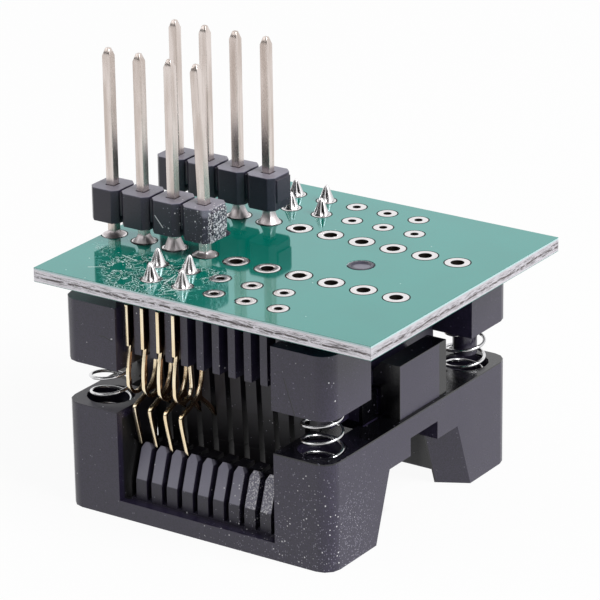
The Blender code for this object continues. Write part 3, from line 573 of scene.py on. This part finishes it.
def metal(name, pale, deep, roughness, grain=(0.9, 0.9, 0.9), relief=0.004, marked=None):
    """Plated or bare metal: two close tones, a slightly uneven skin, and a darker tone where it is marked,
    mostly painted shade.
    """
    finish = Finish(name)
    tone = finish.noise(1.0, 3.0, finish.stretched(grain))
    colour = finish.mix(tone.ramp(0.3, 0.75), pale, deep)
    if marked:
        mark = finish.add("ShaderNodeAttribute", {"attribute_name": MARK}, output="Fac")
        colour = finish.mix(mark, colour, marked)
    finish.set(
        Base_Color=colour,
        Roughness=roughness + (tone - 0.5) * 0.2,
        Normal=finish.bump(tone, relief * MM, 0.5),
        Metallic=1.0,
    )
    return finish


tinned = metal("pin_silver", TIN, TIN_DEEP, 0.26, (2.5, 2.5, 0.26))
soldered = metal("solder", SOLDER_METAL, SOLDER_DEEP, 0.26, (1.5, 1.5, 0.9), 0.01, marked=FLUX_AND_SHADE)
satin_solder = metal("satin_solder", DULL_SOLDER, DULL_DEEP, 0.42, (1.5, 1.5, 0.9), 0.01)
plated = metal("gold", GOLD, GOLD_DEEP, 0.22, (1.2, 1.2, 0.5), marked=GOLD_SIDE_SHADE)
drawn_wire = metal("spring_steel", STEEL, STEEL_DEEP, 0.16)


def ring_metal():
    """The solder on the rings, and the holes' walls between the board's faces, painted dark as shade."""
    finish = Finish("ring_solder")
    x, y, z = finish.axes()
    middle = (BOARD_TOP + BOARD_BOTTOM) / 2 / MM
    shaded_lining = (z - middle).within((BOARD_TOP - BOARD_BOTTOM) / 2 / MM - 0.01)
    tone = finish.noise(2.5, 2.0)
    finish.set(
        Base_Color=finish.mix(shaded_lining, finish.mix(tone, SOLDER_METAL, SOLDER_DEEP), BARREL_SHADE),
        Roughness=0.22 + shaded_lining * 0.4,
        Metallic=1.0,
    )
    return finish


tinned_ring = ring_metal()
print(len(bpy.data.materials), "materials, counting the engineering model's own")

# %% [markdown]
# ## Surfaces from formulas
#
# A new surface is a grid of points: one parameter runs round it and the other along it, and the
# whole grid is computed as one numpy array.  The same few lines then turn any grid into faces.


# %% Grids, meshes and pieces
SAME_POINT = 0.0005 * MM


def lattice(rows, columns, wrap_rows=False):
    """Corner numbers of the faces between neighbours of a grid whose columns close up."""
    i, j = np.meshgrid(np.arange(rows if wrap_rows else rows - 1), np.arange(columns), indexing="ij")
    beside = (j + 1) % columns
    after = (i + 1) % rows
    corners = [i * columns + j, i * columns + beside, after * columns + beside, after * columns + j]
    return np.stack(corners, -1).reshape(-1, 4)


def repeated(faces, copies, points):
    """The same faces for several copies of a shape that has the given number of points."""
    return (faces[None] + np.arange(copies)[:, None, None] * points).reshape(-1, faces.shape[1])


def piece(name, points, faces, finish, body=BASE, smooth=40.0, marks=None):
    """A mesh object on a body, faces outward, sharp edges kept; marks give its points a value."""
    mesh = bpy.data.meshes.new(name)
    mesh.from_pydata(np.asarray(points).reshape(-1, 3).tolist(), [], [list(face) for face in faces])
    if marks is not None:
        mesh.attributes.new(MARK, "FLOAT", "POINT").data.foreach_set("value", marks.ravel())
    shape = bmesh.new()
    shape.from_mesh(mesh)
    bmesh.ops.remove_doubles(shape, verts=shape.verts, dist=SAME_POINT)
    bmesh.ops.recalc_face_normals(shape, faces=shape.faces)
    shape.to_mesh(mesh)
    shape.free()
    mesh.shade_smooth()
    mesh.set_sharp_from_angle(angle=math.radians(smooth))
    mesh.materials.append(finish.material)
    item = bpy.data.objects.new(name, mesh)
    bpy.context.collection.objects.link(item)
    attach(item, body)
    return item


def spun(profile, sides):
    """The radius and height pairs of a profile at every angle: a grid of profile by sides."""
    angle = np.arange(sides) * 2 * math.pi / sides
    radius = profile[:, 0, None]
    height = np.repeat(profile[:, 1, None], sides, 1)
    return np.stack([radius * np.cos(angle), radius * np.sin(angle), height], -1)


def at_places(shape, places):
    """A copy of a shape's points at each place, one after another."""
    return np.asarray(places)[:, None, :] + shape.reshape(1, -1, 3)


def capped(rows, columns):
    """The faces of a grid with a face over its first row, for a shape that closes at its other end."""
    return [list(face) for face in lattice(rows, columns)] + [list(range(columns))]


# %% [markdown]
# ## The plated holes
#
# Every hole in the board is lined with copper and coated with solder: a barrel through the board
# with a flat ring at each end.  Seen as one closed profile it is a letter C that is spun round the
# hole, so one small array and one table of places make all of them.

# %% Rings and barrels
PLATING = 0.03 * MM
BARREL_WALL = 0.05 * MM
HEADER_HOLE = 0.47 * MM
TAIL_HOLE = 0.29 * MM
RING_SIDES = 40


def header_places(columns, height):
    """Holes of the header rows: first the front row, then the back row."""
    x = FIRST_COLUMN + PITCH * np.asarray(columns)
    x, y = np.meshgrid(x, (-ROW_Y, ROW_Y))
    return np.stack([x.ravel() + SHIFT_X, y.ravel() + SHIFT_Y, np.full(x.size, height)], -1)


def tail_places(positions, height):
    """Tails, front then back, alternate between an inner and an outer row, staggered side by side."""
    k = np.asarray(positions)
    even = k % 2 == 0
    front = np.where(even, -INNER_ROW, -OUTER_ROW)
    back = np.where(even, OUTER_ROW, INNER_ROW)
    x = np.tile(CONTACT_PITCH * (k - 4.5), 2) + SHIFT_X
    y = np.concatenate([front, back]) + SHIFT_Y
    return np.stack([x, y, np.full(x.size, height)], -1)


def by_side(places):
    """The first half of the places with the word front, and the second half with the word back."""
    half = len(places) // 2
    return ("front", places[:half]), ("back", places[half:])


def eyelet(hole, ring):
    """Closed profile of a plated hole: a barrel with a slightly domed ring at both ends."""
    across = np.linspace(0, 1, 7)
    radius = hole + (ring - hole) * across
    dome = PLATING * (1.2 - (2 * across - 1) ** 4)
    upper_ring = np.stack([radius, BOARD_TOP + dome], -1)
    lower_ring = np.stack([radius[::-1], BOARD_BOTTOM - dome[::-1]], -1)
    wall = hole + BARREL_WALL
    barrel = [(ring, BOARD_TOP), (wall, BOARD_TOP), (wall, BOARD_BOTTOM), (ring, BOARD_BOTTOM)]
    return np.concatenate([upper_ring, barrel, lower_ring])


def eyelets(name, profile, places):
    """One profile spun round every hole, all in one piece."""
    grid = spun(profile, RING_SIDES)
    rows, columns = grid.shape[:2]
    faces = repeated(lattice(rows, columns, wrap_rows=True), len(places), rows * columns)
    piece(name, at_places(grid, places), faces, tinned_ring)
    print(name, len(places), "holes")


eyelets("header_rings", eyelet(HEADER_HOLE, HEADER_RING), header_places(range(10), 0.0))
eyelets("tail_rings", eyelet(TAIL_HOLE, TAIL_RING), tail_places(range(10), 0.0))

# %% [markdown]
# ## Solder
#
# Liquid solder climbs a pin until its surface tension and its weight balance, and freezes in a
# concave curve.  Round a square pin that curve starts as a circle on the ring and ends as the pin's
# own square, so the radius is a blend of the two.  Over the short tails of the socket's contacts the
# iron was pulled straight up, which left peaks.

# %% Fillets round the header pins
PIN_HALF = 0.32 * MM
FILLET_SIDES = 48
FILLET_ROWS = 18
# Height and radius in millimetres and the power of the curve, from the left-hand pin on.
FILLETS = {
    "front": ((0.35, 0.87, 2.0), (0.55, 0.78, 1.5), (0.78, 0.72, 1.0), (0.3, 0.86, 2.0)),
    "back": ((0.9, 0.8, 2.2), (0.9, 0.8, 2.2), (0.9, 0.8, 2.2), (1.0, 0.8, 2.2)),
}


def square_radius(angle, half):
    """Distance from the middle of a square to its side in each direction, corners eased."""
    return half / (np.abs(np.cos(angle)) ** 6 + np.abs(np.sin(angle)) ** 6) ** (1 / 6)


def fillet(height, spread, flare, random):
    """For t from 0 to 1 the radius runs from the ring's circle to the pin's square as (1 - t) ^ flare."""
    angle = np.arange(FILLET_SIDES) * 2 * math.pi / FILLET_SIDES
    t = np.linspace(0, 1, FILLET_ROWS)[:, None]
    sway = random.uniform(0, 2 * math.pi, 3)
    wave = 1 + 0.03 * np.sin(2 * angle + sway[0]) + 0.02 * np.sin(3 * angle + sway[1])
    pin = square_radius(angle, PIN_HALF + 0.02 * MM)
    radius = pin + (spread * MM * wave - pin) * (1 - t) ** flare
    rise = height * MM * t * (1 + 0.05 * np.sin(angle + sway[2]))
    skirt = np.stack([radius * np.cos(angle), radius * np.sin(angle), rise], -1)
    inner = np.stack([pin * 0.9 * np.cos(angle), pin * 0.9 * np.sin(angle), rise[-1]], -1)
    return np.concatenate([skirt, inner[None], inner[None] * (1, 1, 0)])


random = np.random.default_rng(7)
for side, places in by_side(header_places(range(4), BOARD_TOP)):
    for number, (place, form) in enumerate(zip(places, FILLETS[side]), 1):
        grid = fillet(*form, random)
        faces = lattice(*grid.shape[:2], wrap_rows=True)
        joint = piece(f"fillet_{side}_{number}", grid + place, faces, satin_solder, smooth=60.0)
        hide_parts(f"pin_solder_{side}_{number}")
print("the fillets have", len(faces), "faces each")

# %% Peaks over the contacts' tails
PEAK_SIDES = 96
PEAK_ROWS = 32
PEAK_LEAN = 0.08 * MM
PEAK_RADIUS = 0.6 * MM
PEAK_HEIGHT = 1.2 * MM
PEAK_TAPER = 0.78
CREASES = 5
CREASE_WIDTH = 0.21
CREASE_DEPTH = 0.36
CREASE_SWAY = 0.25
# The first crease is turned roughly towards the camera, so that the dark flux and painted shade in it are
# seen.
FIRST_CREASE = math.radians(CAMERA_TURN[2] - 90) + 0.25


def peak(random):
    """Radius falls evenly to a blunt tip; creases run up the sides, flux with painted shade lies in them,
    and painted shade round the foot.
    """
    angle = np.arange(PEAK_SIDES) * 2 * math.pi / PEAK_SIDES
    t = np.linspace(0, 1, PEAK_ROWS)[:, None]
    taper = (1 - PEAK_TAPER * t ** 0.9) * np.sqrt(1 - t ** 10)
    turns = FIRST_CREASE + np.arange(CREASES) * 2 * math.pi / CREASES
    turns = turns + random.uniform(-CREASE_SWAY, CREASE_SWAY, CREASES)
    from_crease = np.angle(np.exp(1j * (angle[:, None] - turns)))
    deep = np.exp(-(from_crease / CREASE_WIDTH) ** 2) * random.uniform(0.5, 1.0, CREASES)
    crease = deep.sum(1) * np.sin(math.pi * np.minimum(t * 1.05, 1)) ** 0.6
    radius = PEAK_RADIUS * taper * (1 - CREASE_DEPTH * crease)
    lean = random.uniform(-1, 1, 2) * PEAK_LEAN
    x = radius * np.cos(angle) + lean[0] * t ** 2
    y = radius * np.sin(angle) + lean[1] * t ** 2
    # Dark in the creases, flux with painted shade, and at the foot, painted shade.
    flux_and_shade = np.clip(np.maximum(crease ** 1.5 * 1.6, 1 - t / 0.1), 0, 1)
    return np.stack([x, y, np.broadcast_to(PEAK_HEIGHT * t, x.shape)], -1), flux_and_shade


for side, places in by_side(tail_places(range(4), BOARD_TOP)):
    for number, place in enumerate(places, 1):
        grid, flux_and_shade = peak(random)
        faces = capped(*grid.shape[:2])
        name = f"peak_{side}_{number}"
        joint = piece(name, grid + place, faces, soldered, smooth=70.0, marks=flux_and_shade)
        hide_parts(f"tail_solder_{side}_{number}")
print("the peaks have", len(faces), "faces each")

# %% [markdown]
# ## The coil springs
#
# A spring is a circle carried along a helix.  Its height climbs evenly through the open turns and
# hardly at all through the end turns, which lie flat against their seats.  Pressing the cover halves
# the springs' length.

# %% Coils
SPRING_X = 8.6 * MM
SPRING_Y = 8.9 * MM
SPRING_RADIUS = 1.35 * MM
WIRE_RADIUS = 0.115 * MM
SPRING_LOW = 5.8 * MM
SPRING_HIGH = 10.6 * MM
OPEN_TURNS = 3.4
END_TURN = 0.75
TURN_STEPS = 40
WIRE_SIDES = 12
COIL_STARTS = {"front_right": 18, "front_left": 120, "back_right": 250, "back_left": 60}


def coil(start):
    """A circle of the wire's radius along a helix whose climb is slow in its end turns."""
    low = SPRING_LOW + WIRE_RADIUS
    high = SPRING_HIGH - WIRE_RADIUS
    rise = 2.4 * WIRE_RADIUS
    turns = OPEN_TURNS + 2 * END_TURN
    turn = np.linspace(0, turns, round(turns * TURN_STEPS))
    stops = [0, END_TURN, turns - END_TURN, turns]
    height = np.interp(turn, stops, [low, low + rise, high - rise, high])
    angle = 2 * math.pi * turn + math.radians(start)
    around = np.arange(WIRE_SIDES) * 2 * math.pi / WIRE_SIDES
    radius = SPRING_RADIUS + WIRE_RADIUS * np.cos(around)
    x = radius * np.cos(angle)[:, None]
    y = radius * np.sin(angle)[:, None]
    z = height[:, None] + WIRE_RADIUS * np.sin(around)
    return np.stack([x, y, z], -1)


def tube_faces(rows, columns):
    """The faces of a tube with a cap at both ends."""
    last = (rows - 1) * columns
    return capped(rows, columns) + [list(range(last, last + columns))]


for side, y in (("front", -SPRING_Y), ("back", SPRING_Y)):
    for end, x in (("left", -SPRING_X), ("right", SPRING_X)):
        grid = coil(COIL_STARTS[f"{side}_{end}"]) + (x + SHIFT_X, y + SHIFT_Y, 0.0)
        spring = piece(f"coil_{side}_{end}", grid, tube_faces(*grid.shape[:2]), drawn_wire)
        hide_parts(f"spring_{side}_{end}")
        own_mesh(spring)
print("each spring has", OPEN_TURNS + 2 * END_TURN, "turns")

# %% [markdown]
# ## The contacts
#
# Each contact is stamped from one thin sheet of spring bronze and gold-plated.  The stamping tool
# leaves a flat serpentine: a plate held by the comb, a leg, a bend under the comb, a second bend
# over it, and a lever that the cover pushes aside.  Its outline is the two sides of a strip that
# follows a path, and the path's corners are eased by cutting them twice, as a die is rounded.

# %% Strips that follow a path
COMB_FRONT = 10.4 * MM
COMB_BOTTOM = 11.85 * MM
PLATE_TOP = 15.4 * MM
STRIP = 0.22 * MM
SHEET = 0.25 * MM
PLATE_OUTER = COMB_FRONT + 0.35 * MM
PLATE_INNER = 5.98 * MM
TAIL_TOP = BOARD_TOP + 0.22 * MM


def arc(middle, radius, start, end, steps=20):
    angle = np.radians(np.linspace(start, end, steps))
    return np.stack([middle[0] + radius * np.cos(angle), middle[1] + radius * np.sin(angle)], -1)


def eased(path, times=2):
    """Corner cutting: each span gives a point at a quarter and at three quarters of its length."""
    for _ in range(times):
        quarter = path[:-1] * 0.75 + path[1:] * 0.25
        three = path[:-1] * 0.25 + path[1:] * 0.75
        inner = np.stack([quarter, three], 1).reshape(-1, 2)
        path = np.concatenate([path[:1], inner, path[-1:]])
    return path


def sides_of(path, width):
    """Both sides of a strip: the path shifted by half its width along its normals."""
    along = np.gradient(path, axis=0)
    along /= np.linalg.norm(along, axis=1)[:, None]
    across = np.stack([-along[:, 1], along[:, 0]], -1) * width / 2
    return path + across, path - across


def contact_outline(row):
    """Y and Z of a front contact; the drawing counts inwards and upwards from the comb's corner."""
    leg = np.array([(0.0, 0.62), (-0.02, 0.4), (-0.24, -0.6), (-0.3, -1.5)])
    low_bend = arc((0.68, -2.0), 0.96, 170, 370)
    high_bend = arc((2.2, 0.35), 0.78, 180, 0)
    lever = np.array([
        (2.85, -1.45), (2.66, -2.4), (2.2, -3.1), (1.4, -3.55), (0.38, -3.88), (0.26, -4.2), (0.96, -6.87),
    ])
    path = eased(np.concatenate([leg, low_bend, high_bend, lever]))
    left, right = sides_of(path, STRIP / MM)
    nose = np.array([
        (2.6, -3.14), (3.62, -4.06), (4.25, -4.9), (4.85, -5.2), (5.3, -5.0), (5.52, -5.2), (5.0, -5.5),
        (4.1, -5.15), (3.4, -4.2), (2.4, -3.36),
    ])
    bend = np.argmin(np.hypot(*(left - (2.35, -3.2)).T))
    left = np.concatenate([left[:bend - 1], eased(nose, 1), left[bend + 2:]])
    strip = np.concatenate([left, right[::-1]]) * MM + (-COMB_FRONT, COMB_BOTTOM)
    half = SHEET / 2
    head = np.array([
        (-PLATE_OUTER, COMB_BOTTOM + 0.62 * MM), (-PLATE_OUTER, PLATE_TOP), (-row - half, PLATE_TOP),
        (-row - half, TAIL_TOP), (-row + half, TAIL_TOP), (-row + half, PLATE_TOP),
        (-PLATE_INNER, PLATE_TOP), (-PLATE_INNER, COMB_BOTTOM + 2.0 * MM + STRIP),
        (-COMB_FRONT + 0.5 * MM, COMB_BOTTOM + 2.0 * MM), (-COMB_FRONT + 0.3 * MM, COMB_BOTTOM + 1.6 * MM),
    ])
    return np.concatenate([head, strip])


def stamped(outline):
    """The outline at both faces of the sheet, with the sheared edge between them."""
    count = len(outline)
    half = SHEET / 2
    faces = [list(range(count)), list(range(count, 2 * count))]
    faces += [[i, (i + 1) % count, count + (i + 1) % count, count + i] for i in range(count)]
    points = np.concatenate([np.insert(outline, 0, -half, 1), np.insert(outline, 0, half, 1)])
    return points, faces


def softened(item, width, angle):
    """Rounds the piece's sharp edges with live modifiers, and keeps its flat faces flat."""
    bevel = item.modifiers.new("rounded_edges", "BEVEL")
    bevel.width = width
    bevel.segments = 2
    bevel.limit_method = "ANGLE"
    bevel.angle_limit = math.radians(angle)
    item.modifiers.new("flat_faces", "WEIGHTED_NORMAL")


for side, places in by_side(tail_places(range(4), 0.0)):
    for number, place in enumerate(places, 1):
        points, faces = stamped(contact_outline(abs(place[1] - SHIFT_Y)))
        if side == "back":
            points = points * (-1, -1, 1)
        points = points + (place[0], SHIFT_Y, 0.0)
        strip = piece(f"spring_contact_{side}_{number}", points, faces, plated, smooth=50.0)
        # The flat faces of the sheet are marked for a darker brown, which is painted shade.
        flat = strip.data.attributes.new(MARK, "FLOAT", "FACE")
        flat.data.foreach_set("value", np.arange(len(faces)) < 2)
        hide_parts(f"contact_{side}_{number}")
        softened(strip, 0.03 * MM, 60.0)
print("each contact has", len(points), "points before its edges are rounded")

# %% [markdown]
# ## Moulded and cut parts
#
# The socket's base and cover, the insulators and the pins already have the right shape in the
# engineering model, but their edges are mathematically sharp, and a sharp edge never catches the
# light.  A merged copy of each gets a small bevel, which is what the mould or the die gives it.


# %% Copies with rounded edges
SHARP = 35.0
MERGED = 0.002 * MM


def rounded_copy(node, name, width, finish, body=BASE):
    """A merged copy of a CAD node, with its flat faces made whole and its edges bevelled."""
    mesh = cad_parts[node].data.copy()
    mesh.name = name
    shape = bmesh.new()
    shape.from_mesh(mesh)
    bmesh.ops.remove_doubles(shape, verts=shape.verts, dist=MERGED)
    bmesh.ops.dissolve_limit(shape, angle_limit=math.radians(1.0), verts=shape.verts, edges=shape.edges)
    shape.to_mesh(mesh)
    shape.free()
    mesh.shade_smooth()
    mesh.set_sharp_from_angle(angle=math.radians(SHARP))
    mesh.materials.clear()
    mesh.materials.append(finish.material)
    item = bpy.data.objects.new(name, mesh)
    bpy.context.collection.objects.link(item)
    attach(item, body)
    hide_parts(node)
    softened(item, width, SHARP)
    print(name, "has", len(mesh.polygons), "faces")


rounded_copy("cover", "pressed_cover", 0.1 * MM, socket_black, COVER)
rounded_copy("socket_base", "moulded_base", 0.08 * MM, socket_black)
for side in ("front", "back"):
    strip = f"header_insulator_{side}"
    rounded_copy(strip, f"header_block_{side}", 0.07 * MM, header_black)
    for number in range(1, 5):
        pin = f"header_pin_{side}_{number}"
        rounded_copy(pin, f"square_pin_{side}_{number}", 0.05 * MM, tinned)

# %% [markdown]
# ## The nest's rim
#
# The camera looks over the cover's comb into the dark between the cover and the nest, and meets the
# nest's wall there.  This rim carries the wall on downwards with the same slots, as one block for
# each tooth between two slots and one for each end.

# %% Blocks of the rim
RIM_TOP = 5.0 * MM
RIM_BOTTOM = 3.4 * MM
NEST_HALF_X = 6.8 * MM
NEST_OUTER_Y = 6.19 * MM
NEST_INNER_Y = 5.21 * MM
SLOT_HALF = 0.205 * MM
END_WALL = 1.0 * MM
RIM_DRAFT = 0.03 * MM


def drafted_blocks(low, high):
    """Upright blocks from two arrays of corners, each a little narrower at its foot."""
    inward = np.minimum(RIM_DRAFT, (high[:, :2] - low[:, :2]) / 4)
    corners = []
    for z, draft in ((RIM_BOTTOM, inward), (RIM_TOP, 0 * inward)):
        west, south = (low[:, :2] + draft).T
        east, north = (high[:, :2] - draft).T
        height = np.full(len(low), z)
        for x, y in ((west, south), (east, south), (east, north), (west, north)):
            corners.append(np.stack([x, y, height], -1))
    sides = [[0, 1, 2, 3], [4, 5, 6, 7], [0, 1, 5, 4], [1, 2, 6, 5], [2, 3, 7, 6], [3, 0, 4, 7]]
    return np.stack(corners, 1), np.array(sides)


def row_of_blocks(starts, stops, near, far):
    """The low and the high corners of blocks that run from starts to stops in X, near to far in Y."""
    low = np.column_stack([starts, np.full(len(starts), near)])
    high = np.column_stack([stops, np.full(len(stops), far)])
    return low, high


slots = CONTACT_PITCH * (np.arange(10) - 4.5)
starts = np.concatenate([[-NEST_HALF_X], slots + SLOT_HALF])
stops = np.concatenate([slots - SLOT_HALF, [NEST_HALF_X]])
end_starts = [-NEST_HALF_X, NEST_HALF_X - END_WALL]
end_stops = [-NEST_HALF_X + END_WALL, NEST_HALF_X]
front = row_of_blocks(starts, stops, -NEST_OUTER_Y, -NEST_INNER_Y)
back = row_of_blocks(starts, stops, NEST_INNER_Y, NEST_OUTER_Y)
ends = row_of_blocks(end_starts, end_stops, -NEST_INNER_Y, NEST_INNER_Y)
low, high = (np.concatenate(corners) for corners in zip(front, back, ends))
points, sides = drafted_blocks(low, high)
points = points + (SHIFT_X, SHIFT_Y, 0.0)
rim = piece("nest_rim", points, repeated(sides, len(low), 8), socket_black)
softened(rim, 0.04 * MM, 40.0)
print("the rim has", len(low), "blocks")

# %% [markdown]
# ## The studio
#
# A catalogue photograph is taken in a tent of white cloth.  The camera sees pure white all round,
# the gloss of the board mirrors it, and two large soft lamps give the light its direction.  A dark
# card beyond the camera keeps the faces that look at it black.  The floor is white to the camera and
# in mirrors, still takes a faint shadow, and its glow fades out under the front of the opening in
# the cover, so that the dark behind the front window stays dark.

# %% Floor and card
WHITE = (1.0, 1.0, 1.0)
FLOOR_HALF = 1.5
FLOOR_COLOUR = (0.8, 0.8, 0.8)
FLOOR_GLOW = 0.94
DARK_HALF_X = 8.6
DARK_FRONT = -8.2
DARK_BACK = 0.2
DARK_EDGE = 1.8
CARD_COLOUR = (0.03, 0.03, 0.03)
CARD_TURN = math.radians(-100)
CARD_DISTANCE = 0.8
CARD_HALF = 1.4
CARD_HEIGHT = 0.9


def background_rays(nodes):
    """1 for the rays that show the background itself: seen, mirrored or through glass."""
    kind = "ShaderNodeLightPath"
    seen = nodes.add(kind, output="Is Camera Ray")
    mirrored = nodes.add(kind, output="Is Glossy Ray")
    through = nodes.add(kind, output="Is Transmission Ray")
    return seen.largest(mirrored).largest(through)


def white_floor():
    """White paper that glows to the camera and in mirrors, over a plain matt floor."""
    finish = Finish("paper")
    x, y, z = finish.axes()
    glow = finish.add("ShaderNodeEmission", sockets={"Color": (*WHITE, 1.0), "Strength": 1.0})
    matt = finish.add("ShaderNodeBsdfDiffuse", sockets={"Color": (*FLOOR_COLOUR, 1.0)})
    inside = x.between(-DARK_HALF_X, DARK_HALF_X, DARK_EDGE) * y.between(DARK_FRONT, DARK_BACK, DARK_EDGE)
    share = background_rays(finish) * (1.0 - inside) * FLOOR_GLOW
    both = finish.add("ShaderNodeMixShader", sockets={0: share, 1: matt, 2: glow})
    finish.fill(finish.tree.nodes["Material Output"], {"Surface": both})
    return finish


def sheet(name, corners, finish):
    """A flat piece of the studio, which is no part of the object."""
    mesh = bpy.data.meshes.new(name)
    mesh.from_pydata(corners, [], [(0, 1, 2, 3)])
    mesh.materials.append(finish.material)
    item = bpy.data.objects.new(name, mesh)
    bpy.context.collection.objects.link(item)


floor_corners = [(FLOOR_HALF * x, FLOOR_HALF * y, 0) for x, y in ((-1, -1), (1, -1), (1, 1), (-1, 1))]
sheet("floor", floor_corners, white_floor())
card_middle = np.array([math.cos(CARD_TURN), math.sin(CARD_TURN), 0.0]) * CARD_DISTANCE
card_side = np.array([-math.sin(CARD_TURN), math.cos(CARD_TURN), 0.0]) * CARD_HALF
card_top = np.array([0.0, 0.0, CARD_HEIGHT])
card = Finish("card")
card.set(Base_Color=(*CARD_COLOUR, 1.0), Roughness=0.9)
sheet("dark_card", [
    card_middle - card_side, card_middle + card_side,
    card_middle + card_side + card_top, card_middle - card_side + card_top,
], card)
print("the floor is", 2 * FLOOR_HALF, "m wide and the card", 2 * CARD_HALF, "m")

# %% [markdown]
# ## The light
#
# Most of the light comes from the world, which stands for the tent.  The camera and mirrors see it
# brighter than it lights the part, so the background stays white while the plastic stays dark.

# %% World and lamps
TENT_LIGHT = 0.45
TENT_SEEN = 1.0

world = bpy.data.worlds.new("tent")
world.use_nodes = True
bpy.context.scene.world = world
tent = Nodes(world.node_tree)
soft, bright = (
    tent.add("ShaderNodeBackground", sockets={"Color": (*WHITE, 1.0), "Strength": strength})
    for strength in (TENT_LIGHT, TENT_SEEN)
)
both = tent.add("ShaderNodeMixShader", sockets={0: background_rays(tent), 1: soft, 2: bright})
tent.fill(world.node_tree.nodes["World Output"], {"Surface": both})


def soft_lamp(name, place, size, power):
    """A square lamp that looks at the middle of the part."""
    data = bpy.data.lights.new(name, "AREA")
    data.size = size
    data.energy = power
    lamp = bpy.data.objects.new(name, data)
    lamp.location = place
    lamp.rotation_euler = (-lamp.location).to_track_quat("-Z", "Y").to_euler()
    bpy.context.collection.objects.link(lamp)
    print("lamp", name, "stands", round(math.dist(place, (0, 0, 0)), 2), "m away, power", power, "W")


soft_lamp("key", (0.55, 0.0, 0.5), 0.35, 5.0)
soft_lamp("fill", (-0.5, -0.5, 0.4), 0.5, 1.2)
